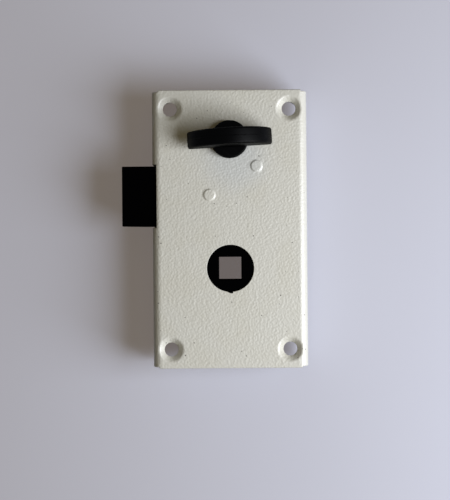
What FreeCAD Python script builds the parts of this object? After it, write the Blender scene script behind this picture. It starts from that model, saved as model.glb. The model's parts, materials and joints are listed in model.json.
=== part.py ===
# Rim door lock: a case folded from two sheets, a sprung latch, a follower for the handle's spindle
# and a thumbturn whose snib slide locks the latch, in millimetres.
#
# Frame: +Z out of the face, +Y towards the thumbturn, the latch towards -X. The origin is the centre
# of the four fixing holes, on the plane that lies on the door.

import FreeCAD, Part
import math
import os
import re
import Sketcher
from FreeCAD import Placement, Rotation, Vector

DIMENSIONS = (
    # The case
    ("case_width", 55.7, "outside width over the side walls"),
    ("case_height", 100.0, "height of the face"),
    ("case_depth", 17.0, "door plane to face"),
    ("sheet", 1.2, "thickness of the case's sheets"),
    ("bend_radius", 3.0, "outside radius of the bends beside the face"),
    ("face_edge_radius", 0.5, "roll of the face's sheared top and bottom edges"),
    ("wall_relief", 0.5, "side walls stop this short of the face's ends"),
    ("relief_inset", 2.0, "the walls' relief starts this far inside their outsides"),
    ("seat_gap", 0.2, "cap and follower stand off the door plane, pan walls off the face"),
    ("pan_inset", 0.8, "pan's end walls lie inside the face's ends by this"),
    ("pan_bend_radius", 1.6, "outside radius of the pan's bends"),
    ("pan_side_gap", 0.15, "pan to side wall"),
    # The four fixing holes
    ("hole_inset_x", 6.45, "fixing holes from the side walls' outsides"),
    ("hole_inset_y", 6.8, "fixing holes from the face's ends"),
    ("fixing_hole_radius", 2.5, "fixing hole in the face"),
    ("dimple_radius", 4.3, "pressed countersink at the face"),
    ("dimple_lip", 0.6, "straight part of the hole under the countersink"),
    ("pan_hole_radius", 4.2, "clear hole in the pan behind each fixing hole"),
    # The pillars between pan and cap
    ("guide_x", -7.4, "guide pillar"),
    ("guide_y", 12.3, "guide pillar"),
    ("upper_x", 9.6, "upper pillar"),
    ("upper_y", 22.6, "upper pillar"),
    ("lower_inset", 14.0, "lower pillar from the face's lower end, on the centre line"),
    ("pillar_radius", 2.0, "slim part that guides the plates"),
    ("shoulder_radius", 3.5, "thick part that stands on the pan"),
    ("tenon_radius", 1.55, "end staked in the cap"),
    ("tenon_length", 0.8, "end staked in the cap"),
    ("pip_radius", 2.3, "raised pip over a tenon, at its foot"),
    ("pip_top_radius", 1.6, "raised pip, at its flat top"),
    ("pip_height", 0.4, "raised pip over the face"),
    ("tube_gap", 0.1, "spacer tube to its pillar and its neighbours"),
    # Screws and rivets
    ("screw_radius", 1.45, "back screw's thread"),
    ("screw_head_radius", 2.6, "back screw's countersunk head"),
    ("screw_length", 4.0, "back screw's whole length"),
    ("screw_gap", 0.05, "screw to its bore"),
    ("bore_end_gap", 0.5, "blind bore beyond what it holds"),
    ("recess_width", 0.6, "arms of a screw's cross recess"),
    ("rivet_radius", 1.2, "bracket rivet"),
    ("rivet_head_radius", 2.2, "bracket rivet's head"),
    ("rivet_head_height", 0.8, "bracket rivet's head"),
    # The latch
    ("latch_y", 12.0, "latch's centre"),
    ("latch_width", 21.6, "latch along Y"),
    ("latch_thickness", 12.0, "latch along Z"),
    ("latch_top_gap", 0.4, "latch to the face's sheet"),
    ("latch_projection", 11.0, "latch out of the side wall, and its travel"),
    ("latch_root", 3.5, "flat length outside before the bevel starts"),
    ("latch_tip", 2.5, "thickness left at the tip"),
    ("latch_edge_radius", 0.5, "rounded edges of the bevel"),
    ("slot_side_gap", 0.6, "latch slot beyond the latch, each side"),
    ("slot_lower_gap", 0.3, "latch slot below the latch"),
    ("slot_cut_angle", 58.0, "how far up the bend the latch slot reaches, degrees"),
    ("head_gap", 1.0, "drawn-in latch head to the snib slide"),
    # The latch tail
    ("tail_thickness", 2.5, "latch tail"),
    ("tail_floor", 1.8, "latch head's wall under the tail"),
    ("tongue_width", 14.0, "part of the tail inside the head"),
    ("tongue_length", 8.2, "part of the tail inside the head"),
    ("tongue_gap", 0.05, "tail to the head's pocket"),
    ("tail_wall", 2.15, "tail's edge to a slot"),
    ("notch_wall", 1.35, "pillar slot to notch"),
    ("notch_depth", 4.2, "notches for the snib stud"),
    ("tail_end_wall", 3.9, "tail beyond the first notch"),
    ("slot_gap", 0.15, "plate slot to pillar, each side"),
    ("stop_gap", 0.1, "slot's end to pillar at the end of travel"),
    ("pin_radius", 1.25, "latch pin"),
    ("pin_spacing", 9.0, "latch pins, apart"),
    ("pin_length", 7.0, "latch pin, from the head's underside"),
    ("pin_inset", 5.2, "latch pin, from the head's back"),
    # The spring and what carries it
    ("spring_y", 5.0, "spring's axis"),
    ("spring_top_gap", 1.0, "spring to the face's sheet"),
    ("spring_radius", 1.9, "spring's axis to the wire's centre"),
    ("spring_wire", 0.6, "wire's thickness"),
    ("spring_turns", 14.0, "whole turns of the spring"),
    ("spring_end_gap", 0.05, "spring to head and bracket"),
    ("rod_radius", 1.2, "guide rod"),
    ("rod_gap", 0.2, "guide rod to the head's bore"),
    ("rod_start", 5.2, "resting latch head to the rod's end"),
    ("rod_head_radius", 1.8, "rod's staked head"),
    ("rod_head_length", 0.8, "rod's staked head"),
    ("bracket_wall_gap", 0.5, "bracket's foot to the right side wall"),
    ("bracket_bend_radius", 2.0, "outside radius of the bracket's bend"),
    ("bracket_width", 12.0, "bracket along Y"),
    ("bracket_foot", 7.2, "bracket's foot along X"),
    ("bracket_top_gap", 0.8, "bracket to the face's sheet"),
    ("bracket_rivet_spacing", 7.0, "bracket rivets, apart"),
    ("bracket_rivet_gap", 0.3, "rivet's head to the bracket's bend"),
    # The follower
    ("follower_y", -14.1, "follower's axis"),
    ("spindle_size", 8.2, "square for the handle's spindle, across flats"),
    ("boss_radius", 8.4, "follower in its bores"),
    ("running_gap", 0.05, "turning shaft in its bore"),
    ("follower_recess", 0.6, "follower below the face"),
    ("follower_shoulder", 1.35, "follower's body beyond its bosses"),
    ("follower_top_gap", 0.3, "follower's shoulder to the face's sheet"),
    ("follower_washer_space", 0.7, "pan to follower's shoulder"),
    ("nick_width", 1.7, "nick in the follower's bore"),
    ("nick_depth", 0.6, "nick in the follower's bore"),
    ("arm_swing", 20.0, "follower's arm off the centre line at rest, degrees"),
    ("arm_tip_radius", 2.5, "rounded end of the arm"),
    ("arm_neck", 3.4, "width of the arm"),
    ("fork_gap", 0.2, "fork to the arm's end, each side"),
    ("fork_wall", 2.2, "fork's legs"),
    ("fork_skirt", 1.5, "fork's legs below the arm's end"),
    ("fork_top_gap", 0.4, "fork's bottom over the arm's end"),
    # The thumbturn
    ("turn_y", 32.1, "thumbturn's axis"),
    ("turn_rest_angle", 3.0, "wing off the X axis, as photographed, degrees"),
    ("turn_disc_radius", 6.75, "knob's base disc"),
    ("turn_disc_height", 3.0, "top of the disc over the face"),
    ("turn_disc_gap", 0.1, "disc to face"),
    ("turn_shank_radius", 4.5, "knob in the cap's bore"),
    ("wing_length", 30.0, "wing, end to end"),
    ("wing_thickness", 5.7, "wing"),
    ("wing_end_height", 6.0, "wing's ends over the face"),
    ("wing_rise", 11.5, "wing's middle over its ends"),
    ("wing_corner_radius", 1.0, "wing's upright corners"),
    ("wing_edge_radius", 0.5, "wing's arched edges"),
    ("drive_size", 6.0, "knob's square in the cam"),
    ("drive_gap", 0.03, "knob's square to the cam"),
    ("thumb_washer_space", 0.9, "face's sheet to cam"),
    ("cam_radius", 6.5, "snib cam"),
    ("cam_thickness", 2.4, "snib cam"),
    ("crank_radius", 4.0, "crank pin off the thumbturn's axis"),
    ("crank_pin_radius", 1.3, "crank pin"),
    ("crank_pin_end", 0.2, "crank pin beyond the slide"),
    ("yoke_gap", 0.2, "slide to crank pin"),
    ("cam_screw_radius", 1.2, "cam screw's thread"),
    ("cam_screw_length", 6.0, "cam screw's thread"),
    ("cam_screw_head_radius", 2.3, "cam screw's head"),
    ("cam_screw_head_height", 1.3, "cam screw's head"),
    # The snib slide
    ("slide_thickness", 2.0, "snib slide"),
    ("slide_gap", 0.1, "slide over the tail"),
    ("slide_wall", 1.65, "slide's edge to a slot"),
    ("stud_x", -1.0, "snib stud"),
    ("stud_radius", 1.9, "snib stud"),
    ("stud_gap", 0.2, "stud to notch, each side"),
    ("stud_bottom_gap", 0.14, "locked stud to the notch's bottom"),
    ("stud_neck_radius", 1.2, "stud riveted in the slide"),
    # Washers
    ("washer_thickness", 0.4, "both washers"),
    ("washer_gap", 0.2, "washer round its shaft, and to its neighbours"),
)

# Places worked out from the sizes above, as expressions of them.
CAP_UNDER = "(case_depth - sheet)"
HALF_WIDTH = "(case_width/2)"
HALF_HEIGHT = "(case_height/2)"
LOWER_Y = "(lower_inset - case_height/2)"
PAN_END = "(case_height/2 - pan_inset)"
PAN_HALF_WIDTH = "(case_width/2 - sheet - pan_side_gap)"
GUIDE_SLOT = "(pillar_radius + slot_gap)"
STROKE = "(2*crank_radius*sin(45))"
CRANK_OFFSET = "(crank_radius*sin(45))"
LATCH_TOP = "(case_depth - sheet - latch_top_gap)"
LATCH_BOTTOM = "(case_depth - sheet - latch_top_gap - latch_thickness)"
LATCH_TIP_X = "(-case_width/2 - latch_projection)"
HEAD_BACK = f"(guide_x - {GUIDE_SLOT} - slide_wall - latch_projection - head_gap)"
TAIL_BOTTOM = f"({LATCH_BOTTOM} + tail_floor)"
TAIL_TOP = f"({TAIL_BOTTOM} + tail_thickness)"
TAIL_LOWER_EDGE = f"(guide_y - {GUIDE_SLOT} - tail_wall)"
NOTCH_BOTTOM = f"(guide_y + {GUIDE_SLOT} + notch_wall)"
TAIL_UPPER_EDGE = f"({NOTCH_BOTTOM} + notch_depth)"
NOTCH_RADIUS = "(stud_radius + stud_gap)"
TAIL_RIGHT = f"(stud_x + {NOTCH_RADIUS} + tail_end_wall)"
ARM_REACH = "(latch_projection/2/sin(arm_swing))"
ARM_X = "(-latch_projection/2)"
ARM_Y = f"(follower_y + {ARM_REACH}*cos(arm_swing))"
FORK_RADIUS = "(arm_tip_radius + fork_gap)"
FORK_TOP = f"(follower_y + {ARM_REACH} + arm_tip_radius + fork_top_gap)"
BRACKET_X = "(case_width/2 - sheet - bracket_wall_gap - bracket_foot)"
SPRING_Z = "(case_depth - sheet - spring_top_gap - spring_wire/2 - spring_radius)"
SLIDE_BOTTOM = f"({TAIL_TOP} + slide_gap)"
SLIDE_TOP = f"({SLIDE_BOTTOM} + slide_thickness)"
STUD_Y = f"({NOTCH_BOTTOM} + stud_bottom_gap + stud_radius + {STROKE})"
YOKE_Y = f"(turn_y + {CRANK_OFFSET})"
CAM_TOP = f"({CAP_UNDER} - thumb_washer_space)"
CAM_BOTTOM = f"({CAM_TOP} - cam_thickness)"
SHOULDER_TOP = f"({TAIL_BOTTOM} - tube_gap)"

UP = Vector(0, 0, 1)
ALONG_X = Vector(1, 0, 0)
SIDES = (-1, 1)

doc = FreeCAD.newDocument("RimLock")
sheet = doc.addObject("Spreadsheet::Sheet", "Dimensions")
for row, (alias, size, note) in enumerate(DIMENSIONS, start=2):
    sheet.set(f"A{row}", alias)
    sheet.set(f"B{row}", str(size))
    sheet.set(f"C{row}", note)
    sheet.setAlias(f"B{row}", alias)
doc.recompute()

SIZE_NAME = re.compile(r"\b(" + "|".join(alias for alias, size, note in DIMENSIONS) + r")\b")
nodes = []


def full(expression):
    """The expression with each size's name as its cell in the sheet."""
    return SIZE_NAME.sub(r"Dimensions.\1", expression)


def value(expression):
    """The expression's value now."""
    return float(sheet.evalExpression(full(expression)))


def bind(item, **properties):
    """Bind properties of an object to expressions."""
    for name, expression in properties.items():
        item.setExpression(name, full(expression))


def place(item, x="0", y="0", z="0"):
    """Bind an object's place to expressions."""
    for letter, expression in zip("xyz", (x, y, z)):
        item.setExpression(f"Placement.Base.{letter}", full(expression))


def as_node(item, label):
    """Name an object as a sub-part."""
    item.Label = label
    nodes.append(item)
    return item


# Solids of the Part kind

def cylinder(name, radius, height, x="0", y="0", z="0", direction=UP):
    item = doc.addObject("Part::Cylinder", name)
    item.Placement = Placement(Vector(), Rotation(UP, direction))
    bind(item, Radius=radius, Height=height)
    place(item, x, y, z)
    return item


def cone(name, lower_radius, upper_radius, height, x="0", y="0", z="0"):
    item = doc.addObject("Part::Cone", name)
    bind(item, Radius1=lower_radius, Radius2=upper_radius, Height=height)
    place(item, x, y, z)
    return item


def box(name, length, width, height, x="0", y="0", z="0"):
    """A box centred on x and y, with its base at z."""
    item = doc.addObject("Part::Box", name)
    bind(item, Length=length, Width=width, Height=height)
    place(item, f"({x}) - ({length})/2", f"({y}) - ({width})/2", z)
    return item


def cut(name, base, tool):
    item = doc.addObject("Part::Cut", name)
    item.Base = base
    item.Tool = tool
    return item


def fuse(name, parts):
    item = doc.addObject("Part::MultiFuse", name)
    item.Shapes = parts
    return item


def group(name, parts):
    """Separate solids in one sub-part."""
    item = doc.addObject("Part::Compound", name)
    item.Links = parts
    return item


def ring(name, inner_radius, outer_radius, height, x="0", y="0", z="0"):
    outer = cylinder(f"{name}_outer", outer_radius, height, x, y, z)
    inner = cylinder(f"{name}_inner", inner_radius, height, x, y, z)
    return cut(name, outer, inner)


# Solids of the PartDesign kind

def new_body(label, x="0", y="0", z="0"):
    body = doc.addObject("PartDesign::Body", label)
    place(body, x, y, z)
    return as_node(body, label)


def sketch_on(body, role, offset="0"):
    """A sketch on one of the body's own origin planes, moved along the plane's normal."""
    plane = next(item for item in body.Origin.OriginFeatures if item.Role == role)
    sketch = body.newObject("Sketcher::SketchObject", f"{body.Name}_sketch")
    sketch.AttachmentSupport = [(plane, "")]
    sketch.MapMode = "FlatFace"
    sketch.setExpression("AttachmentOffset.Base.z", full(offset))
    return sketch


def flat(body, height="0"):
    """A sketch across the Z axis."""
    return sketch_on(body, "XY_Plane", height)


def upright(body, y="0"):
    """A sketch across the Y axis: its own axes are X and Z. The plane's normal is -Y."""
    return sketch_on(body, "XZ_Plane", f"-({y})")


def sized(sketch, constraint, expression):
    """Add a dimension bound to an expression."""
    number = sketch.addConstraint(constraint)
    sketch.setExpression(f"Constraints[{number}]", full(expression))


def fix_point(sketch, geometry, point, x, y):
    sized(sketch, Sketcher.Constraint("DistanceX", -1, 1, geometry, point, value(x)), x)
    sized(sketch, Sketcher.Constraint("DistanceY", -1, 1, geometry, point, value(y)), y)


def draw_circle(sketch, radius, x="0", y="0"):
    circle = Part.Circle(Vector(value(x), value(y), 0), UP, value(radius))
    geometry = sketch.addGeometry(circle)
    fix_point(sketch, geometry, 3, x, y)
    sized(sketch, Sketcher.Constraint("Radius", geometry, value(radius)), radius)


def draw_outline(sketch, points, last_radius=None):
    """A closed outline of lines through the points. Its last side is an arc if a radius is given,
    and then the points run counter-clockwise."""
    places = [Vector(value(x), value(y), 0) for x, y in points]
    count = len(points)
    sides = []
    for number in range(count):
        start = places[number]
        end = places[(number + 1) % count]
        if last_radius and number == count - 1:
            side = outward_arc(start, end, value(last_radius))
        else:
            side = Part.LineSegment(start, end)
        sides.append(sketch.addGeometry(side))
    for number, (x, y) in enumerate(points):
        fix_point(sketch, sides[number], 1, x, y)
        sketch.addConstraint(Sketcher.Constraint("Coincident", sides[number - 1], 2, sides[number], 1))
    if last_radius:
        sized(sketch, Sketcher.Constraint("Radius", sides[-1], value(last_radius)), last_radius)


def outward_arc(start, end, radius):
    """An arc from start to end, counter-clockwise, of under half a circle."""
    middle = (start + end) * 0.5
    half = (end - start) * 0.5
    normal = Vector(half.y, -half.x, 0).normalize()
    depth = math.sqrt(radius ** 2 - half.Length ** 2)
    return Part.Arc(start, middle + normal * (radius - depth), end)


def draw_rectangle(sketch, x_low, x_high, y_low, y_high):
    draw_outline(sketch, [(x_low, y_low), (x_high, y_low), (x_high, y_high), (x_low, y_high)])


def draw_slot(sketch, radius, first, last):
    """A slot with round ends between two centres, first left of or below last."""
    a = Vector(value(first[0]), value(first[1]), 0)
    b = Vector(value(last[0]), value(last[1]), 0)
    size = value(radius)
    heading = math.atan2(b.y - a.y, b.x - a.x)
    side = Vector(-math.sin(heading), math.cos(heading), 0) * size
    quarter = math.pi / 2
    start = sketch.addGeometry(Part.ArcOfCircle(
        Part.Circle(a, UP, size), heading + quarter, heading + 3 * quarter))
    end = sketch.addGeometry(Part.ArcOfCircle(
        Part.Circle(b, UP, size), heading - quarter, heading + quarter))
    right = sketch.addGeometry(Part.LineSegment(a - side, b - side))
    left = sketch.addGeometry(Part.LineSegment(b + side, a + side))
    for one, one_end, other, other_end in (
        (start, 2, right, 1),
        (right, 2, end, 1),
        (end, 2, left, 1),
        (left, 2, start, 1),
    ):
        sketch.addConstraint(Sketcher.Constraint("Tangent", one, one_end, other, other_end))
    sketch.addConstraint(Sketcher.Constraint("Equal", start, end))
    sized(sketch, Sketcher.Constraint("Radius", start, size), radius)
    fix_point(sketch, start, 3, *first)
    fix_point(sketch, end, 3, *last)


def pad(body, sketch, length, symmetric=False):
    feature = body.newObject("PartDesign::Pad", f"{body.Name}_pad")
    feature.Profile = sketch
    feature.SideType = "Symmetric" if symmetric else "One side"
    bind(feature, Length=length)
    doc.recompute()
    return feature


def revolve(body, sketch):
    """Turn a profile right round the sketch's upright axis."""
    feature = body.newObject("PartDesign::Revolution", f"{body.Name}_revolution")
    feature.Profile = sketch
    feature.ReferenceAxis = (sketch, ["V_Axis"])
    feature.Angle = 360
    doc.recompute()
    return feature


def checked_cut(body, feature, before):
    """A cut that takes nothing away points the wrong way."""
    doc.recompute()
    if not body.Shape.Volume < before:
        raise ValueError(f"{feature.Label} takes nothing from {body.Label}")
    return feature


def pocket(body, sketch, length, symmetric=False):
    """Cut down from the sketch, or to both sides of it."""
    before = body.Shape.Volume
    feature = body.newObject("PartDesign::Pocket", f"{body.Name}_pocket")
    feature.Profile = sketch
    feature.SideType = "Symmetric" if symmetric else "One side"
    bind(feature, Length=length)
    return checked_cut(body, feature, before)


def drill(body, radius, top, depth, places):
    """Round holes cut down from a height."""
    sketch = flat(body, top)
    for x, y in places:
        draw_circle(sketch, radius, x, y)
    return pocket(body, sketch, depth)


def add_primitive(body, kind, x, y, z, **sizes):
    """One of the body's own round primitives, at a place in the body."""
    before = body.Shape.Volume
    feature = body.newObject(f"PartDesign::{kind}", f"{body.Name}_{kind}")
    bind(feature, **sizes)
    for letter, expression in zip("xyz", (x, y, z)):
        feature.setExpression(f"AttachmentOffset.Base.{letter}", full(expression))
    plane = next(item for item in body.Origin.OriginFeatures if item.Role == "XY_Plane")
    feature.AttachmentSupport = [(plane, "")]
    feature.MapMode = "FlatFace"
    if kind.startswith("Subtractive"):
        return checked_cut(body, feature, before)
    doc.recompute()
    return feature


def edges_at(feature, middles):
    """Names of the edges whose middles lie at the places given as expressions."""
    names = []
    for middle in middles:
        target = Vector(*[value(expression) for expression in middle])
        distances = [
            (edge.valueAt((edge.FirstParameter + edge.LastParameter) / 2) - target).Length
            for edge in feature.Shape.Edges
        ]
        nearest = min(range(len(distances)), key=distances.__getitem__)
        if distances[nearest] > 0.02:
            raise ValueError(f"no edge of {feature.Label} at {middle}")
        names.append(f"Edge{nearest + 1}")
    return names


def fillet(body, radius, middles):
    base = body.Tip
    names = edges_at(base, middles)
    feature = body.newObject("PartDesign::Fillet", f"{body.Name}_fillet")
    feature.Base = (base, names)
    bind(feature, Radius=radius)
    doc.recompute()
    return feature


# Places that several sub-parts share

FIXING_HOLES = [
    (f"({side_x})*({HALF_WIDTH} - hole_inset_x)", f"({side_y})*({HALF_HEIGHT} - hole_inset_y)")
    for side_x in SIDES
    for side_y in SIDES
]
STAKED_PILLARS = (("guide_x", "guide_y"), ("upper_x", "upper_y"))
PILLARS = STAKED_PILLARS + (("0", LOWER_Y),)
LATCH_PINS = [
    (f"({HEAD_BACK} - pin_inset)", f"(latch_y + ({side})*pin_spacing/2)")
    for side in SIDES
]
BRACKET_RIVETS = [
    (f"({BRACKET_X} + bracket_bend_radius + bracket_rivet_gap + rivet_head_radius)",
     f"(spring_y + ({side})*bracket_rivet_spacing/2)")
    for side in SIDES
]


def make_case_cap():
    """The face with its two bent side walls, open at both ends and at the back."""
    body = new_body("case_cap")
    profile = upright(body)
    inside = "(case_width/2 - sheet)"
    draw_outline(profile, [
        (f"-{HALF_WIDTH}", "seat_gap"),
        (f"-{inside}", "seat_gap"),
        (f"-{inside}", CAP_UNDER),
        (inside, CAP_UNDER),
        (inside, "seat_gap"),
        (HALF_WIDTH, "seat_gap"),
        (HALF_WIDTH, "case_depth"),
        (f"-{HALF_WIDTH}", "case_depth"),
    ])
    pad(body, profile, "case_height", symmetric=True)
    fillet(body, "bend_radius", [(f"({side})*{HALF_WIDTH}", "0", "case_depth") for side in SIDES])
    fillet(body, "bend_radius - sheet", [(f"({side})*{inside}", "0", CAP_UNDER) for side in SIDES])
    fillet(body, "face_edge_radius", [("0", f"({side})*{HALF_HEIGHT}", "case_depth") for side in SIDES])
    cut_wall_ends(body)
    add_pillar_seats(body)
    add_dimples(body)
    cut_follower_bore(body)
    drill(body, "turn_shank_radius + running_gap", "case_depth", "sheet", [("0", "turn_y")])
    cut_latch_slot(body)
    return body


def cut_wall_ends(body):
    """The side walls and their bends stop a little short of the face's ends."""
    for side in SIDES:
        sketch = flat(body, "case_depth")
        for end in SIDES:
            near = f"({side})*({HALF_WIDTH} - relief_inset)"
            far = f"({side})*({HALF_WIDTH} + relief_inset)"
            inner = f"({end})*({HALF_HEIGHT} - wall_relief)"
            outer = f"({end})*({HALF_HEIGHT} + wall_relief)"
            draw_outline(sketch, [(near, inner), (far, inner), (far, outer), (near, outer)])
        pocket(body, sketch, "case_depth")


def add_pillar_seats(body):
    """A pip on the face over each staked pillar, and the blind hole for its tenon."""
    for x, y in STAKED_PILLARS:
        add_primitive(
            body, "AdditiveCone", x, y, "case_depth",
            Radius1="pip_radius", Radius2="pip_top_radius", Height="pip_height")
        add_primitive(
            body, "SubtractiveCylinder", x, y, CAP_UNDER,
            Radius="tenon_radius + screw_gap", Height="tenon_length + screw_gap")


def add_dimples(body):
    """Countersinks pressed into the sheet, which stands down round them."""
    slant = "sheet*sqrt(2)"
    lip_top = "(case_depth - dimple_radius + fixing_hole_radius)"
    lip_bottom = f"({lip_top} - dimple_lip)"
    for x, y in FIXING_HOLES:
        add_primitive(
            body, "AdditiveCone", x, y, lip_bottom,
            Radius1=f"dimple_radius + {slant} - case_depth + {lip_bottom}",
            Radius2=f"dimple_radius + {slant} - sheet",
            Height=f"{CAP_UNDER} - {lip_bottom}")
        add_primitive(
            body, "SubtractiveCone", x, y, lip_top,
            Radius1="fixing_hole_radius", Radius2="dimple_radius",
            Height=f"case_depth - {lip_top}")
        add_primitive(
            body, "SubtractiveCylinder", x, y, lip_bottom,
            Radius="fixing_hole_radius", Height="dimple_lip")


def cut_follower_bore(body):
    """The follower's bore, with a small nick at its lowest point."""
    bore = "(boss_radius + running_gap)"
    drill(body, bore, "case_depth", "sheet", [("0", "follower_y")])
    sketch = flat(body, "case_depth")
    draw_rectangle(
        sketch, "-nick_width/2", "nick_width/2",
        f"follower_y - {bore} - nick_depth", f"follower_y - {bore} + nick_depth")
    pocket(body, sketch, "sheet")


def cut_latch_slot(body):
    """The slot in the left wall, which ends square across the bend."""
    sketch = upright(body, "latch_y")
    outside = f"(-{HALF_WIDTH} - bend_radius)"
    centre_x = f"(-{HALF_WIDTH} + bend_radius)"
    centre_z = "(case_depth - bend_radius)"
    reach = "(2*bend_radius)"
    bottom = f"{LATCH_BOTTOM} - slot_lower_gap"
    end_z = f"{centre_z} + {reach}*sin(slot_cut_angle)"
    draw_outline(sketch, [
        (outside, bottom),
        (centre_x, bottom),
        (centre_x, centre_z),
        (f"{centre_x} - {reach}*cos(slot_cut_angle)", end_z),
        (outside, end_z),
    ])
    pocket(body, sketch, "latch_width + 2*slot_side_gap", symmetric=True)


def make_back_pan():
    """The sheet on the door, bent up at its two ends inside the cap."""
    body = new_body("back_pan")
    profile = sketch_on(body, "YZ_Plane")
    inside = f"({PAN_END} - sheet)"
    top = f"({CAP_UNDER} - seat_gap)"
    draw_outline(profile, [
        (f"-{PAN_END}", "0"),
        (PAN_END, "0"),
        (PAN_END, top),
        (inside, top),
        (inside, "sheet"),
        (f"-{inside}", "sheet"),
        (f"-{inside}", top),
        (f"-{PAN_END}", top),
    ])
    pad(body, profile, f"2*{PAN_HALF_WIDTH}", symmetric=True)
    wall_middle = f"({PAN_END} - sheet/2)"
    fillet(body, "pan_bend_radius", [("0", f"({side})*{PAN_END}", "0") for side in SIDES])
    fillet(body, "pan_bend_radius - sheet", [("0", f"({side})*{inside}", "sheet") for side in SIDES])
    fillet(body, "bend_radius", [
        (f"({side_x})*{PAN_HALF_WIDTH}", f"({side_y})*{wall_middle}", top)
        for side_x in SIDES
        for side_y in SIDES
    ])
    drill(body, "pan_hole_radius", "sheet", "sheet", FIXING_HOLES)
    drill(body, "boss_radius + running_gap", "sheet", "sheet", [("0", "follower_y")])
    drill(body, "rivet_radius + screw_gap", "sheet", "sheet", BRACKET_RIVETS)
    for x, y in PILLARS:
        add_primitive(
            body, "SubtractiveCone", x, y, "0",
            Radius1="screw_head_radius + 2*screw_gap",
            Radius2="screw_head_radius + 2*screw_gap - sheet",
            Height="sheet")
    return body


def make_pillar(label, x, y, staked):
    """A turned pillar on the pan with a threaded bore. A staked one is slim where the plates slide."""
    body = new_body(label, x, y)
    sketch = upright(body)
    bore = "(screw_radius + screw_gap)"
    bore_top = "(screw_length + screw_gap + bore_end_gap)"
    outline = [
        (bore, "sheet"),
        ("shoulder_radius", "sheet"),
    ]
    if staked:
        outline += [
            ("shoulder_radius", SHOULDER_TOP),
            ("pillar_radius", SHOULDER_TOP),
            ("pillar_radius", CAP_UNDER),
            ("tenon_radius", CAP_UNDER),
            ("tenon_radius", f"{CAP_UNDER} + tenon_length"),
            ("0", f"{CAP_UNDER} + tenon_length"),
        ]
    else:
        outline += [
            ("shoulder_radius", CAP_UNDER),
            ("0", CAP_UNDER),
        ]
    outline += [
        ("0", bore_top),
        (bore, bore_top),
    ]
    draw_outline(sketch, outline)
    revolve(body, sketch)
    return body


def make_pillar_spacers():
    """Tubes round the two staked pillars, from the snib slide to the face's sheet."""
    tubes = []
    for number, (x, y) in enumerate(STAKED_PILLARS):
        tubes.append(ring(
            f"spacer_{number}", "pillar_radius + tube_gap", "shoulder_radius",
            f"{CAP_UNDER} - {SLIDE_TOP} - 2*tube_gap", x, y, f"{SLIDE_TOP} + tube_gap"))
    return as_node(group("pillar_spacers", tubes), "pillar_spacers")


def make_back_screws():
    """Three countersunk screws with cross recesses, flush with the pan's back."""
    screws = []
    head = "(sheet - screw_gap)"
    for number, (x, y) in enumerate(PILLARS):
        solid = fuse(f"screw_{number}", [
            cone(f"screw_head_{number}", "screw_head_radius", f"screw_head_radius - {head}", head,
                 x, y, "screw_gap"),
            cylinder(f"screw_thread_{number}", "screw_radius", "screw_length", x, y, "screw_gap"),
        ])
        arms = [
            ("screw_head_radius*1.3", "recess_width"),
            ("recess_width", "screw_head_radius*1.3"),
        ]
        recess = fuse(f"recess_{number}", [
            box(f"recess_{number}_{arm}", length, width, "sheet", x, y, "0")
            for arm, (length, width) in enumerate(arms)
        ])
        screws.append(cut(f"back_screw_{number}", solid, recess))
    return as_node(group("back_screws", screws), "back_screws")


def make_latch_head():
    """The black bolt: flat in front, bevelled behind to a thin tip, pocketed for the tail."""
    body = new_body("latch_head", y="latch_y")
    profile = upright(body)
    root = f"(-{HALF_WIDTH} - latch_root)"
    tip_bottom = f"({LATCH_TOP} - latch_tip)"
    draw_outline(profile, [
        (LATCH_TIP_X, tip_bottom),
        (root, LATCH_BOTTOM),
        (HEAD_BACK, LATCH_BOTTOM),
        (HEAD_BACK, LATCH_TOP),
        (LATCH_TIP_X, LATCH_TOP),
    ])
    pad(body, profile, "latch_width", symmetric=True)
    fillet(body, "latch_edge_radius", [
        (LATCH_TIP_X, "0", tip_bottom),
        (LATCH_TIP_X, "0", LATCH_TOP),
        (root, "0", LATCH_BOTTOM),
    ])
    tongue = flat(body, f"{TAIL_TOP} + tongue_gap")
    half = "(tongue_width/2 + tongue_gap)"
    draw_rectangle(
        tongue, f"{HEAD_BACK} - tongue_length - tongue_gap", f"{HEAD_BACK} + tongue_gap",
        f"-{half}", half)
    pocket(body, tongue, "tail_thickness + 2*tongue_gap")
    pins = [(x, f"{y} - latch_y") for x, y in LATCH_PINS]
    drill(body, "pin_radius", f"{LATCH_BOTTOM} + pin_length", "pin_length", pins)
    bore = sketch_on(body, "YZ_Plane", HEAD_BACK)
    draw_circle(bore, "rod_radius + rod_gap", "spring_y - latch_y", SPRING_Z)
    pocket(body, bore, "latch_projection - rod_start + bore_end_gap")
    return body


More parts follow.
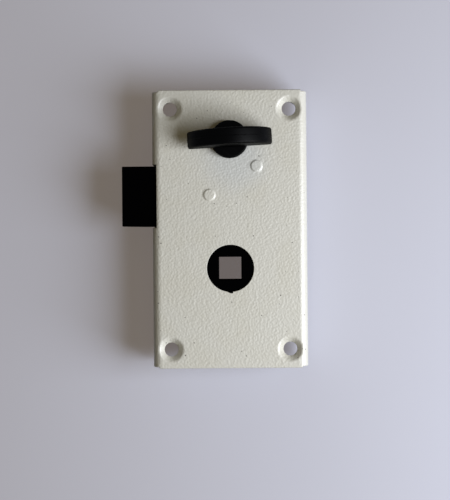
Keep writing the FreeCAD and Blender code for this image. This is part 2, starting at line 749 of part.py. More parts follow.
def make_latch_tail():
    """The steel plate behind the head: a slot round the guide pillar, two notches, a fork."""
    body = new_body("latch_tail")
    plate = flat(body, TAIL_BOTTOM)
    tongue_left = f"{HEAD_BACK} - tongue_length"
    tongue_low = "latch_y - tongue_width/2"
    tongue_high = "latch_y + tongue_width/2"
    fork_half = f"({FORK_RADIUS} + fork_wall)"
    fork_end = f"{ARM_Y} - fork_skirt"
    draw_outline(plate, [
        (tongue_left, tongue_low),
        (HEAD_BACK, tongue_low),
        (HEAD_BACK, TAIL_LOWER_EDGE),
        (f"{ARM_X} - {fork_half}", TAIL_LOWER_EDGE),
        (f"{ARM_X} - {fork_half}", fork_end),
        (f"{ARM_X} + {fork_half}", fork_end),
        (f"{ARM_X} + {fork_half}", TAIL_LOWER_EDGE),
        (TAIL_RIGHT, TAIL_LOWER_EDGE),
        (TAIL_RIGHT, TAIL_UPPER_EDGE),
        (HEAD_BACK, TAIL_UPPER_EDGE),
        (HEAD_BACK, tongue_high),
        (tongue_left, tongue_high),
    ])
    pad(body, plate, "tail_thickness")
    slots = flat(body, TAIL_TOP)
    draw_slot(
        slots, GUIDE_SLOT,
        ("guide_x - latch_projection - stop_gap", "guide_y"), ("guide_x + stop_gap", "guide_y"))
    pocket(body, slots, "tail_thickness")
    notches = flat(body, TAIL_TOP)
    for travel in ("0", "latch_projection"):
        draw_slot(
            notches, NOTCH_RADIUS,
            (f"stud_x - {travel}", f"{NOTCH_BOTTOM} + {NOTCH_RADIUS}"),
            (f"stud_x - {travel}", f"{TAIL_UPPER_EDGE} + {NOTCH_RADIUS}"))
    pocket(body, notches, "tail_thickness")
    fork = flat(body, TAIL_TOP)
    draw_slot(
        fork, FORK_RADIUS,
        (ARM_X, f"{fork_end} - {FORK_RADIUS}"), (ARM_X, f"{FORK_TOP} - {FORK_RADIUS}"))
    pocket(body, fork, "tail_thickness")
    drill(body, "pin_radius", TAIL_TOP, "tail_thickness", LATCH_PINS)
    return body


def make_latch_pins():
    """Two pins from the head's underside through the tail's tongue."""
    pins = [
        cylinder(f"latch_pin_{number}", "pin_radius", "pin_length", x, y, LATCH_BOTTOM)
        for number, (x, y) in enumerate(LATCH_PINS)
    ]
    return as_node(group("latch_pins", pins), "latch_pins")


def arc_through(start, corner, end):
    """The arc from start to end whose end tangents meet at the corner."""
    middle = (start + end) * 0.5
    rise = corner - middle
    half = (end - start).Length / 2
    angle = math.atan2(rise.Length, half)
    return Part.Arc(start, middle + rise.normalize() * half * math.tan(angle / 2), end)


def twin_arcs(start, start_way, end, end_way):
    """Two arcs joined smoothly, with the given headings at their ends."""
    chord = end - start
    ways = start_way + end_way
    across = chord.dot(ways)
    bend = 2 * (1 - start_way.dot(end_way))
    reach = (-across + math.sqrt(across ** 2 + bend * chord.dot(chord))) / bend
    first = start + start_way * reach
    last = end - end_way * reach
    joint = (first + last) * 0.5
    return [arc_through(start, first, joint), arc_through(joint, last, end)]


def spring_point(turn, turns, length, radius, wire):
    """Place and heading on the spring's centre line. The first and last turn lie closed."""
    closed = wire * 1.05
    open_pitch = (length - wire - 2 * closed) / (turns - 2)
    if turn <= 1:
        along = closed * turn
    elif turn >= turns - 1:
        along = length - wire - closed * (turns - turn)
    else:
        along = closed + open_pitch * (turn - 1)
    slope = closed if turn < 1 or turn > turns - 1 else open_pitch
    if turn in (1, turns - 1):
        slope = (closed + open_pitch) / 2
    angle = 2 * math.pi * turn
    point = Vector(wire / 2 + along, radius * math.cos(angle), radius * math.sin(angle))
    way = Vector(slope / (2 * math.pi), -radius * math.sin(angle), radius * math.cos(angle))
    return point, way.normalize()


def make_latch_spring():
    """A compression spring round the rod, from the latch head to the bracket."""
    wire = value("spring_wire")
    radius = value("spring_radius")
    turns = round(value("spring_turns"))
    left = value(f"{HEAD_BACK} + spring_end_gap")
    length = value(f"{BRACKET_X} - spring_end_gap") - left
    edges = []
    for quarter in range(4 * turns):
        start, start_way = spring_point(quarter / 4, turns, length, radius, wire)
        end, end_way = spring_point((quarter + 1) / 4, turns, length, radius, wire)
        edges += [arc.toShape() for arc in twin_arcs(start, start_way, end, end_way)]
    start, start_way = spring_point(0, turns, length, radius, wire)
    section = Part.Wire(Part.makeCircle(wire / 2, start, start_way))
    item = doc.addObject("Part::Feature", "latch_spring")
    item.Shape = Part.Wire(edges).makePipeShell([section], True, False)
    item.Placement = Placement(Vector(left, value("spring_y"), value(SPRING_Z)), Rotation())
    gap = (length - wire) / turns - wire
    print(f"latch_spring: {turns} turns, mean gap between turns {gap:.2f} mm")
    return as_node(item, "latch_spring")


def make_spring_guide_rod():
    """A rod staked in the bracket, whose free end enters the latch head."""
    left = f"{HEAD_BACK} + rod_start"
    end = f"({BRACKET_X} + sheet)"
    rod = cylinder(
        "rod_shaft", "rod_radius", f"{end} - ({left})", left, "spring_y", SPRING_Z, ALONG_X)
    head = cylinder(
        "rod_head", "rod_head_radius", "rod_head_length", end, "spring_y", SPRING_Z, ALONG_X)
    return as_node(fuse("spring_guide_rod", [rod, head]), "spring_guide_rod")


def make_spring_bracket():
    """An angle riveted to the pan, with the rod's hole."""
    body = new_body("spring_bracket", y="spring_y")
    profile = upright(body)
    inner = f"({BRACKET_X} + sheet)"
    toe = f"({BRACKET_X} + bracket_foot)"
    top = f"{CAP_UNDER} - bracket_top_gap"
    draw_outline(profile, [
        (BRACKET_X, "sheet"),
        (toe, "sheet"),
        (toe, "2*sheet"),
        (inner, "2*sheet"),
        (inner, top),
        (BRACKET_X, top),
    ])
    pad(body, profile, "bracket_width", symmetric=True)
    fillet(body, "bracket_bend_radius", [(BRACKET_X, "0", "sheet")])
    fillet(body, "bracket_bend_radius - sheet", [(inner, "0", "2*sheet")])
    hole = sketch_on(body, "YZ_Plane", inner)
    draw_circle(hole, "rod_radius + screw_gap", "0", SPRING_Z)
    pocket(body, hole, "sheet")
    rivets = [(x, f"{y} - spring_y") for x, y in BRACKET_RIVETS]
    drill(body, "rivet_radius + screw_gap", "2*sheet", "sheet", rivets)
    return body


def make_bracket_rivets():
    """Two rivets through the bracket's foot and the pan, flush at the back."""
    rivets = []
    for number, (x, y) in enumerate(BRACKET_RIVETS):
        rivets.append(fuse(f"rivet_{number}", [
            cylinder(f"rivet_shank_{number}", "rivet_radius", "2*sheet - screw_gap", x, y, "screw_gap"),
            cone(f"rivet_head_{number}", "rivet_head_radius", "rivet_radius", "rivet_head_height",
                 x, y, "2*sheet"),
        ]))
    return as_node(group("bracket_rivets", rivets), "bracket_rivets")


def make_follower_hub():
    """The hub with a boss in each sheet, the spindle's square and the arm in the tail's fork."""
    body = new_body("follower_hub", y="follower_y")
    boss = flat(body, "seat_gap")
    draw_circle(boss, "boss_radius")
    pad(body, boss, "case_depth - follower_recess - seat_gap")
    drum = flat(body, "sheet + follower_washer_space")
    draw_circle(drum, "boss_radius + follower_shoulder")
    pad(body, drum, f"{CAP_UNDER} - follower_top_gap - sheet - follower_washer_space")
    tip_x = f"(-{ARM_REACH}*sin(arm_swing))"
    tip_y = f"({ARM_REACH}*cos(arm_swing))"
    side_x = "(arm_neck/2*cos(arm_swing))"
    side_y = "(arm_neck/2*sin(arm_swing))"
    neck = flat(body, TAIL_BOTTOM)
    draw_outline(neck, [
        (f"-{side_x}", f"-{side_y}"),
        (side_x, side_y),
        (f"{tip_x} + {side_x}", f"{tip_y} + {side_y}"),
        (f"{tip_x} - {side_x}", f"{tip_y} - {side_y}"),
    ])
    pad(body, neck, "tail_thickness")
    tip = flat(body, TAIL_BOTTOM)
    draw_circle(tip, "arm_tip_radius", tip_x, tip_y)
    pad(body, tip, "tail_thickness")
    square = flat(body, "case_depth")
    half = "(spindle_size/2)"
    draw_rectangle(square, f"-{half}", half, f"-{half}", half)
    pocket(body, square, "case_depth")
    return body


def make_follower_washer():
    washer = ring(
        "follower_washer", "boss_radius + washer_gap", "boss_radius + follower_shoulder",
        "washer_thickness", "0", "follower_y", "sheet + washer_gap/2")
    return as_node(washer, "follower_washer")


def make_thumbturn_knob():
    """A half-moon wing on a disc, with a shank in the cap and a square in the cam."""
    body = new_body("thumbturn_knob", y="turn_y")
    body.setExpression("Placement.Rotation.Yaw", full("turn_rest_angle"))
    disc_top = "(case_depth + turn_disc_height)"
    end_top = "(case_depth + wing_end_height)"
    half = "(wing_length/2)"
    wing = upright(body)
    draw_outline(wing, [
        (f"-{half}", end_top),
        (f"-{half}", disc_top),
        (half, disc_top),
        (half, end_top),
    ], last_radius=f"({half}^2 + wing_rise^2)/(2*wing_rise)")
    pad(body, wing, "wing_thickness", symmetric=True)
    fillet(body, "wing_corner_radius", [
        (f"({side_x})*{half}", f"({side_y})*wing_thickness/2", f"({disc_top} + {end_top})/2")
        for side_x in SIDES
        for side_y in SIDES
    ])
    fillet(body, "wing_edge_radius", [
        ("0", f"({side})*wing_thickness/2", f"{end_top} + wing_rise")
        for side in SIDES
    ])
    disc = flat(body, "case_depth + turn_disc_gap")
    draw_circle(disc, "turn_disc_radius")
    pad(body, disc, "turn_disc_height - turn_disc_gap")
    shank = flat(body, CAM_TOP)
    draw_circle(shank, "turn_shank_radius")
    pad(body, shank, f"case_depth + turn_disc_height - {CAM_TOP}")
    drive = flat(body, CAM_BOTTOM)
    side = "(drive_size/2)"
    draw_rectangle(drive, f"-{side}", side, f"-{side}", side)
    pad(body, drive, "cam_thickness")
    depth = "(cam_screw_length + bore_end_gap)"
    drill(body, "cam_screw_radius + screw_gap", f"{CAM_BOTTOM} + {depth}", depth, [("0", "0")])
    return body


def make_thumb_washer():
    washer = ring(
        "thumb_washer", "turn_shank_radius + washer_gap", "cam_radius",
        "washer_thickness", "0", "turn_y", f"{CAM_TOP} + (thumb_washer_space - washer_thickness)/2")
    return as_node(washer, "thumb_washer")


def make_snib_cam():
    """A disc on the knob's square, with the crank pin that moves the snib slide."""
    body = new_body("snib_cam", y="turn_y")
    disc = flat(body, CAM_BOTTOM)
    draw_circle(disc, "cam_radius")
    pad(body, disc, "cam_thickness")
    pin_bottom = f"{SLIDE_BOTTOM} - crank_pin_end"
    pin = flat(body, pin_bottom)
    draw_circle(pin, "crank_pin_radius", f"-{CRANK_OFFSET}", CRANK_OFFSET)
    pad(body, pin, f"{CAM_TOP} - ({pin_bottom})")
    hole = flat(body, CAM_TOP)
    side = "(drive_size/2 + drive_gap)"
    corners = [(f"-{side}", f"-{side}"), (side, f"-{side}"), (side, side), (f"-{side}", side)]
    draw_outline(hole, [
        (f"{x}*cos(turn_rest_angle) - ({y})*sin(turn_rest_angle)",
         f"{x}*sin(turn_rest_angle) + ({y})*cos(turn_rest_angle)")
        for x, y in corners
    ])
    pocket(body, hole, "cam_thickness")
    return body


def make_cam_screw():
    """The screw that holds the cam to the knob, with a slotted head."""
    head_bottom = f"({CAM_BOTTOM} - cam_screw_head_height)"
    screw = fuse("cam_screw_solid", [
        cylinder("cam_screw_head", "cam_screw_head_radius", "cam_screw_head_height",
                 "0", "turn_y", head_bottom),
        cylinder("cam_screw_thread", "cam_screw_radius", "cam_screw_head_height + cam_screw_length",
                 "0", "turn_y", head_bottom),
    ])
    slot = box(
        "cam_screw_slot", "2.5*cam_screw_head_radius", "recess_width", "cam_screw_head_height/2",
        "0", "turn_y", head_bottom)
    return as_node(cut("cam_screw", screw, slot), "cam_screw")


def make_snib_slide():
    """The plate on the two staked pillars, with a yoke for the crank pin and a hole for the stud."""
    body = new_body("snib_slide")
    plate = flat(body, SLIDE_BOTTOM)
    around = f"({GUIDE_SLOT} + slide_wall)"
    left = f"(guide_x - {around})"
    yoke_half = "(crank_pin_radius + yoke_gap)"
    yoke_left = "(-crank_radius - stop_gap)"
    yoke_right = f"(-{CRANK_OFFSET} + stop_gap)"
    yoke_edge = f"({yoke_left} - {yoke_half} - slide_wall)"
    shoulder = f"(guide_y + {STROKE} + stop_gap + {around})"
    wing_low = f"(upper_y - stop_gap - {around})"
    wing_high = f"(upper_y + {STROKE} + stop_gap + {around})"
    top = f"({YOKE_Y} + {yoke_half} + slide_wall)"
    draw_outline(plate, [
        (left, f"guide_y - stop_gap - {around}"),
        (f"guide_x + {around}", f"guide_y - stop_gap - {around}"),
        (f"guide_x + {around}", wing_low),
        (f"upper_x + {around}", wing_low),
        (f"upper_x + {around}", wing_high),
        (f"{yoke_right} + {yoke_half} + slide_wall", wing_high),
        (f"{yoke_right} + {yoke_half} + slide_wall", top),
        (yoke_edge, top),
        (yoke_edge, f"{shoulder} + {yoke_edge} - {left}"),
        (left, shoulder),
    ])
    pad(body, plate, "slide_thickness")
    slots = flat(body, SLIDE_TOP)
    for x, y in STAKED_PILLARS:
        draw_slot(slots, GUIDE_SLOT, (x, f"{y} - stop_gap"), (x, f"{y} + {STROKE} + stop_gap"))
    draw_slot(slots, yoke_half, (yoke_left, YOKE_Y), (yoke_right, YOKE_Y))
    pocket(body, slots, "slide_thickness")
    drill(body, "stud_neck_radius", SLIDE_TOP, "slide_thickness", [("stud_x", STUD_Y)])
    return body


def make_snib_stud():
    """The stud under the slide, as deep as the tail's notches."""
    lower_gap = "(slide_gap + tail_thickness)"
    body = cylinder(
        "stud_body", "stud_radius", lower_gap, "stud_x", STUD_Y, f"{SLIDE_BOTTOM} - {lower_gap}")
    neck = cylinder(
        "stud_neck", "stud_neck_radius", "slide_thickness", "stud_x", STUD_Y, SLIDE_BOTTOM)
    return as_node(fuse("snib_stud", [body, neck]), "snib_stud")


def check_and_write():
    """Refuse a failed object or a bad solid, then write every sub-part."""
    doc.recompute()
    for item in doc.Objects:
        if "Invalid" in item.State or "Error" in item.State:
            raise ValueError(f"{item.Label} failed: {item.State}")
    for item in nodes:
        if item.Shape.isNull() or not item.Shape.isValid():
            raise ValueError(f"{item.Label} has a bad shape")
    os.makedirs("parts", exist_ok=True)
    for item in nodes:
        item.Shape.exportStep(f"parts/{item.Label}.step")
        print(f"{item.Label}: {len(item.Shape.Solids)} solids, {item.Shape.Volume:.2f} mm3")


make_case_cap()
make_back_pan()
make_pillar("guide_pillar", "guide_x", "guide_y", staked=True)
make_pillar("upper_pillar", "upper_x", "upper_y", staked=True)
make_pillar("lower_pillar", "0", LOWER_Y, staked=False)
make_pillar_spacers()
make_back_screws()
make_latch_head()
make_latch_tail()
make_latch_pins()
make_latch_spring()
make_spring_guide_rod()
make_spring_bracket()
make_bracket_rivets()
make_follower_hub()
make_follower_washer()
make_thumbturn_knob()
make_thumb_washer()
make_snib_cam()
make_cam_screw()
make_snib_slide()
make_snib_stud()
check_and_write()
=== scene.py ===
# Rim door lock: the look of the whole lock, in the model's own frame. +Z comes out of the face, +Y runs
# towards the thumbturn, and the latch points along -X. Shapes are worked out in millimetres and put in
# the scene in metres.

import json
import math

import bmesh
import bpy
from mathutils import Matrix, Vector
from mathutils.geometry import delaunay_2d_cdt


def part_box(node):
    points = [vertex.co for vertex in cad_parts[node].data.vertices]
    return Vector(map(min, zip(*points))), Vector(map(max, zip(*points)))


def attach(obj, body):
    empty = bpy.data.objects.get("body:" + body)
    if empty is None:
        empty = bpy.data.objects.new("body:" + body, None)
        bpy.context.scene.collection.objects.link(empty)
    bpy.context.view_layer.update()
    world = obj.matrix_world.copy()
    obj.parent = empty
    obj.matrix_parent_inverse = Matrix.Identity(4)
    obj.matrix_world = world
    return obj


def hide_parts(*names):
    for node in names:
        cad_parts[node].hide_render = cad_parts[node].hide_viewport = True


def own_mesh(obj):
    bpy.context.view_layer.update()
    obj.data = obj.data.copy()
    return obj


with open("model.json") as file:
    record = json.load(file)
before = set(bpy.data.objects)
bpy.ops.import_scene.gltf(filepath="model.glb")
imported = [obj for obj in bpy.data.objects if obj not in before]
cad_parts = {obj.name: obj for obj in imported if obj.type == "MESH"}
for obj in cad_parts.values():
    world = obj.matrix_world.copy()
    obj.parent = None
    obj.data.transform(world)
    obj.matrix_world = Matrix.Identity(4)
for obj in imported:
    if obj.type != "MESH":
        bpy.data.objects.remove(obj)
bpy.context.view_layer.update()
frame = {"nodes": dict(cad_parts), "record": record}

MM = 0.001

# The least share or area that counts, and how near two places in single precision are the same
TINY = 1e-6
NEAR = 1e-4

# Points round a circle: in a recess, inside a bore, on a small, a middle and a large round, and on the
# bore with the nick, whose end has to fall on a point
RECESS_ROUND = 24
HIDDEN_ROUND = 32
SMALL_ROUND = 48
MIDDLE_ROUND = 64
LARGE_ROUND = 96
NICKED_ROUND = 240

# How far a cutting tool stands out of what it cuts, in millimetres
OVERSHOOT = 1.0

# The corners of a square, counter-clockwise
SQUARE = ((-1, -1), (1, -1), (1, 1), (-1, 1))


def corners(node):
    """A node's lowest and highest corner, in millimetres."""
    low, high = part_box(node)
    return low / MM, high / MM


def middle(node):
    """The middle of a node's box, in millimetres."""
    low, high = corners(node)
    return (low + high) / 2


# Sizes of the case, in millimetres
SHEET = 1.2
PIP_HEIGHT = 0.4
CAP_BEND = 3.0
PAN_BEND = 1.6
BEND_STEPS = 8
WALL_RELIEF = 0.5
RELIEF_START = 1.0
SHEARED_ROUND = 0.45
PUNCHED_ROUND = 0.15
UNDERSIDE_ROUND = 0.1
DIMPLE_RADIUS = 4.3
DIMPLE_ROUND = 1.5
DIMPLE_START = 5.0
DIMPLE_LIP = 0.6
DIMPLE_UNDERSIDE = 4.4
PAN_HOLE_RADIUS = 4.2
TENON_RADIUS = 1.6
TENON_DEPTH = 0.85
HOLE_LIP_ROUND = 0.3
HOLE_EDGE_ROUND = 0.12
PRESSED_ROUND = 0.2
PIP_FOOT = 2.75
PIP_SIDE = 2.3
PIP_TOP = 1.75
PIP_FOOT_ROUND = 0.5
PIP_TOP_ROUND = 0.45
PIP_CENTRE = 0.4
NICK_DEPTH = 0.5
SLOT_SIDE_GAP = 0.6
SLOT_LOWER_GAP = 0.3

# Angles in degrees: how far before and after the bore's lowest point the nick starts and ends, how near
# two angles are the same, and where the slot ends in the bend
NICK_RAMP = 9.0
NICK_END = 6.0
ANGLE_NEAR = 0.1
SLOT_BEND_ANGLE = 32.0

# What the model's boxes say
cap_low, cap_high = corners("case_cap")
pan_high = corners("back_pan")[1]
latch_low, latch_high = corners("latch_head")
hub_low, hub_high = corners("follower_hub")
knob_high = corners("thumbturn_knob")[1]
FACE = cap_high.z - PIP_HEIGHT
CAP_UNDER = FACE - SHEET
FOLLOWER = middle("follower_washer").to_2d()
TURN = middle("thumb_washer").to_2d()
BACK_SCREWS = [middle(node).to_2d() for node in ("guide_pillar", "upper_pillar", "lower_pillar")]
PIPS = BACK_SCREWS[:2]

# The fasteners and their places
RIVET_RADIUS = 1.2
RIVET_HEAD_RADIUS = 2.2
RIVET_END_RADIUS = 1.05
RIVET_END_HEIGHT = 0.15
RIVET_BORE_GAP = 0.05
SCREW_RADIUS = 1.45
SCREW_HEAD_RADIUS = 2.6
SCREW_HEAD_HEIGHT = 1.15
SCREW_RECESS_WIDTH = 0.7
SCREW_RECESS_DEPTH = 0.9
SCREW_SEAT_FOOT = 1.5
SCREW_SEAT_SLOPE = 1.2
SCREW_SEAT_ROUND = 0.05
SCREW_SEAT_EDGE = 0.02
RECESS_TAPER = 1.6
RECESS_REACH = 1.25
rivet_low, rivet_high = corners("bracket_rivets")
RIVETS = [
    Vector(((rivet_low.x + rivet_high.x) / 2, y))
    for y in (rivet_low.y + RIVET_HEAD_RADIUS, rivet_high.y - RIVET_HEAD_RADIUS)
]
fixing = next(m for m in frame["record"]["mounts"] if m["name"] == "fixing_screws")["dims"]
FIXING_RADIUS = fixing["hole_r_mm"]
FIXING_HOLES = [
    Vector((side_x * fixing["spacing_x_mm"] / 2, side_y * fixing["spacing_y_mm"] / 2))
    for side_x in (-1, 1)
    for side_y in (-1, 1)
]

# Sizes of the latch, the follower and the thumbturn
RUNNING_GAP = 0.05
LATCH_ROOT = 3.5
LATCH_TIP = 2.5
LATCH_EDGE = 0.3
LATCH_CORNER = 0.5
LATCH_POCKET_HALF = 7.05
ROD_BORE_RADIUS = 1.4
ROD_BORE_DEPTH = 6.3
DRUM_RADIUS = FOLLOWER.y - hub_low.y
HUB_SHOULDER = 1.35
BOSS_RADIUS = DRUM_RADIUS - HUB_SHOULDER
BORE_RADIUS = BOSS_RADIUS + RUNNING_GAP
HUB_WASHER_GAP = 0.1
HUB_TOP_GAP = 0.3
HUB_EDGE = 0.3
SQUARE_HALF = 4.1
SQUARE_FLARE = 0.3
LATCH_TRAVEL = 11.0
ARM_SWING = 20.0
ARM_NECK = 3.4
ARM_TIP_RADIUS = 2.5
ARM_ROOT_SHARE = 0.7
ARM_TIP_STEPS = 24
SHANK_RADIUS = 4.5
DISC_RADIUS = 6.75
DISC_HEIGHT = 3.0
DISC_GAP = 0.1
DISC_EDGE = 0.5
TURNED_EDGE = 0.2
WING_HALF = 15.0
WING_THICKNESS = 5.9
WING_END_HEIGHT = 6.0
WING_EDGE = 0.8
WING_CORNER = 0.9
WING_STEPS = 56
PARTING_RIDGE = 0.1
PARTING_HALF_FOOT = 0.15
PARTING_HALF_TOP = 0.05
REST_ANGLE = 3.0
DRIVE_HALF = 3.0
DRIVE_TOP_ROUND = 0.1
DRIVE_END_ROUND = 0.2
CAM_SCREW_BORE_TOP_ROUND = 0.05
CAM_SCREW_BORE_END_ROUND = 0.1
CAM_SCREW_BORE = 1.25
CAM_SCREW_DEPTH = 6.5


# Outlines and rings

def softened(points, steps=4, closed=True):
    """An outline with its corners rounded. Each corner is (x, y, radius)."""
    outline = []
    count = len(points)
    for number, (x, y, radius) in enumerate(points):
        corner = Vector((x, y))
        if not radius or (not closed and number in (0, count - 1)):
            outline.append(corner)
            continue
        back = (Vector(points[number - 1][:2]) - corner).normalized()
        ahead = (Vector(points[(number + 1) % count][:2]) - corner).normalized()
        half_angle = back.angle(ahead) / 2
        centre = corner + (back + ahead).normalized() * radius / math.sin(half_angle)
        reach = radius / math.tan(half_angle)
        first = (corner + back * reach - centre).normalized()
        last = (corner + ahead * reach - centre).normalized()
        for step in range(steps + 1):
            outline.append(centre + first.slerp(last, step / steps) * radius)
    return outline


def quarter(steps=3):
    """Angles from nought to a right angle."""
    return [math.pi / 2 * step / steps for step in range(steps + 1)]


def rim_of(points, bend_lines=()):
    """A sheet's cut edge as (point, way out of the material), with extra points on the bend lines.
    It runs counter-clockwise round the sheet, and clockwise round a hole in it."""
    whole = []
    for start, end in zip(points, points[1:] + points[:1]):
        whole.append(start)
        run = end.x - start.x
        if abs(run) > TINY:
            shares = sorted((line - start.x) / run for line in bend_lines)
            whole += [start.lerp(end, share) for share in shares if TINY < share < 1 - TINY]
    rim = []
    for before, here, after in zip(whole[-1:] + whole[:-1], whole, whole[1:] + whole[:1]):
        arriving = (here - before).normalized()
        leaving = (after - here).normalized()
        one = Vector((arriving.y, -arriving.x))
        other = Vector((leaving.y, -leaving.x))
        rim.append((here, (one + other) / (1 + one.dot(other))))
    return rim


def round_rim(centre, radius, count=MIDDLE_ROUND):
    """The edge of a round hole in a sheet."""
    ways = [Vector((math.cos(turn), -math.sin(turn)))
            for turn in (2 * math.pi * k / count for k in range(count))]
    return [(centre + way * radius, -way) for way in ways]


def nicked_rim(centre, radius):
    """The edge of the follower's bore. The nick at its lowest point deepens and ends in a step."""
    rim = []
    for point, outward in round_rim(centre, radius, NICKED_ROUND):
        angle = math.degrees(outward.angle_signed(Vector((0, 1))))
        if abs(angle - NICK_END) < ANGLE_NEAR:
            rim.append((point, outward))
        share = min(1, angle / NICK_RAMP + 1)
        depth = NICK_DEPTH * share if share > 0 and angle < NICK_END + ANGLE_NEAR else 0
        rim.append((point - outward * depth, outward))
    return rim


def pressed(rim, profile):
    """Rings that follow a rim. The profile is (distance into the material, depth under the skin)."""
    return [[(point - outward * inset, depth) for point, outward in rim] for inset, depth in profile]


def cut_edge(rim, outer_round, inner_round, thickness, between=()):
    """The rings of a plain cut edge with slightly rounded corners."""
    profile = [(outer_round * (1 - math.sin(a)), outer_round * (1 - math.cos(a))) for a in quarter()]
    profile += between
    profile += [
        (inner_round * (1 - math.sin(a)), thickness - inner_round * (1 - math.cos(a)))
        for a in reversed(quarter())
    ]
    return pressed(rim, profile)


# Meshes

def inside(loops, place):
    """Whether a place lies in the first loop and in none of the others."""
    crossings = 0
    for loop in loops:
        for start, end in zip(loop, loop[1:] + loop[:1]):
            if (start.y > place.y) != (end.y > place.y):
                at = start.x + (place.y - start.y) / (end.y - start.y) * (end.x - start.x)
                crossings += at > place.x
    return crossings % 2 == 1


def triangles_between(loops, bend_lines):
    """Points and triangles of a flat skin with holes, with its edges along the bend lines."""
    points, edges = [], []
    for loop in loops:
        first = len(points)
        points += loop
        edges += [(first + k, first + (k + 1) % len(loop)) for k in range(len(loop))]
    for line in bend_lines:
        on_line = [k for k, point in enumerate(points) if abs(point.x - line) < NEAR]
        on_line.sort(key=lambda k: points[k].y)
        edges += [
            (a, b) for a, b in zip(on_line, on_line[1:])
            if inside(loops, (points[a] + points[b]) / 2)
        ]
    places, _, faces = delaunay_2d_cdt(points, edges, [], 0, TINY)[:3]
    kept = [face for face in faces if inside(loops, sum((places[k] for k in face), Vector((0, 0))) / 3)]
    return places, kept


def add_rings(bm, rings, close_first=False, close_last=False):
    """Bridge closed rings of equally many points, in their order."""
    levels = [[bm.verts.new(point) for point in ring] for ring in rings]
    for lower, upper in zip(levels, levels[1:]):
        for k in range(len(lower)):
            after = (k + 1) % len(lower)
            bm.faces.new((lower[k], lower[after], upper[after], upper[k]))
    if close_first:
        bm.faces.new(levels[0])
    if close_last:
        bm.faces.new(levels[-1])


def sheet_mesh(bend, thickness, edges, bend_lines=(), outer_dents=(), inner_dents=()):
    """A closed sheet: two skins joined by the rings of its edges. bend says where a place on the flat
    sheet, at a depth under the outer skin, lies on the finished one. Dents are blind."""
    bm = bmesh.new()
    for depth, level, dents in ((0, 0, outer_dents), (thickness, -1, inner_dents)):
        loops = [[point for point, _ in rings[level]] for rings in edges]
        loops += [[point for point, _ in rings[0]] for rings in dents]
        points, triangles = triangles_between(loops, bend_lines)
        skin = [bm.verts.new(bend(point.x, point.y, depth)) for point in points]
        for triangle in triangles:
            bm.faces.new([skin[k] for k in triangle])
    for rings in edges:
        add_rings(bm, [[bend(point.x, point.y, depth) for point, depth in ring] for ring in rings])
    for rings in (*outer_dents, *inner_dents):
        add_rings(bm, [[bend(point.x, point.y, depth) for point, depth in ring] for ring in rings],
                  close_last=True)
    return bm


def turned(bm, profile, centre, count):
    """Add a turned solid: its profile is (radius, height) from one end to the other."""
    rings = [
        [
            (centre.x + radius * math.cos(turn), centre.y + radius * math.sin(turn), height)
            for turn in (2 * math.pi * k / count for k in range(count))
        ]
        for radius, height in profile
    ]
    add_rings(bm, rings, close_first=True, close_last=True)


def prism(bm, outline, low, high):
    """Add a straight solid over an outline."""
    add_rings(bm, [[(x, y, z) for x, y in outline] for z in (low, high)],
              close_first=True, close_last=True)


SHARP_ANGLE = math.radians(34)


def new_object(name, data):
    """An object in the scene for a mesh, a lamp or a camera."""
    item = bpy.data.objects.new(name, data)
    bpy.context.scene.collection.objects.link(item)
    return item


def smooth(mesh):
    """Shade a mesh smooth up to its sharp edges."""
    mesh.shade_smooth()
    mesh.set_sharp_from_angle(angle=SHARP_ANGLE)


def to_object(name, bm):
    """An object from a mesh in millimetres."""
    bmesh.ops.remove_doubles(bm, verts=bm.verts, dist=NEAR)
    bmesh.ops.recalc_face_normals(bm, faces=bm.faces)
    bm.transform(Matrix.Scale(MM, 4))
    mesh = bpy.data.meshes.new(name)
    bm.to_mesh(mesh)
    bm.free()
    smooth(mesh)
    return new_object(name, mesh)


def settle(item):
    """Turn an object's modifiers into its plain mesh."""
    bpy.context.view_layer.update()
    seen = item.evaluated_get(bpy.context.evaluated_depsgraph_get())
    mesh = bpy.data.meshes.new_from_object(seen)
    item.modifiers.clear()
    item.data = mesh
    return item


def even_shading(item):
    """Large flat faces lead the shading, so that they stay flat beside narrow rounds."""
    modifier = item.modifiers.new("even_shading", "WEIGHTED_NORMAL")
    modifier.keep_sharp = True
    return settle(item)


def cut_away(item, *tools):
    """Cut the tools out of an object."""
    for tool in tools:
        modifier = item.modifiers.new(tool.name, "BOOLEAN")
        modifier.operation = "DIFFERENCE"
        modifier.solver = "EXACT"
        modifier.object = tool
    settle(item)
    for tool in tools:
        bpy.data.objects.remove(tool)
    smooth(item.data)
    return item


# Materials: small helpers

def add_node(tree, kind, inputs=None, **settings):
    """A node with its settings. Its inputs are values or other nodes' outputs."""
    node = tree.nodes.new(kind)
    for name, setting in settings.items():
        setattr(node, name, setting)
    for name, entry in (inputs or {}).items():
        if isinstance(entry, bpy.types.NodeSocket):
            tree.links.new(entry, node.inputs[name])
        else:
            node.inputs[name].default_value = entry
    return node


def math_node(tree, operation, first, second=0.0, clamp=False):
    """The result of a sum, a product or another operation on two values."""
    node = add_node(tree, "ShaderNodeMath", {0: first, 1: second}, operation=operation, use_clamp=clamp)
    return node.outputs[0]


def ramp(tree, amount, low, high, to_low=0.0, to_high=1.0):
    """Spread a range of a value smoothly over another."""
    node = add_node(tree, "ShaderNodeMapRange", {
        "Value": amount, "From Min": low, "From Max": high, "To Min": to_low, "To Max": to_high,
    }, interpolation_type="SMOOTHSTEP")
    return node.outputs["Result"]


def noise(tree, place, scale, detail=2.0, roughness=0.5):
    """Soft random clouds, as a value."""
    node = add_node(tree, "ShaderNodeTexNoise", {
        "Vector": place, "Scale": scale, "Detail": detail, "Roughness": roughness,
    })
    return node.outputs["Fac"]


MIX_SHARE, MIX_FIRST, MIX_SECOND, MIX_RESULT = 0, 6, 7, 2


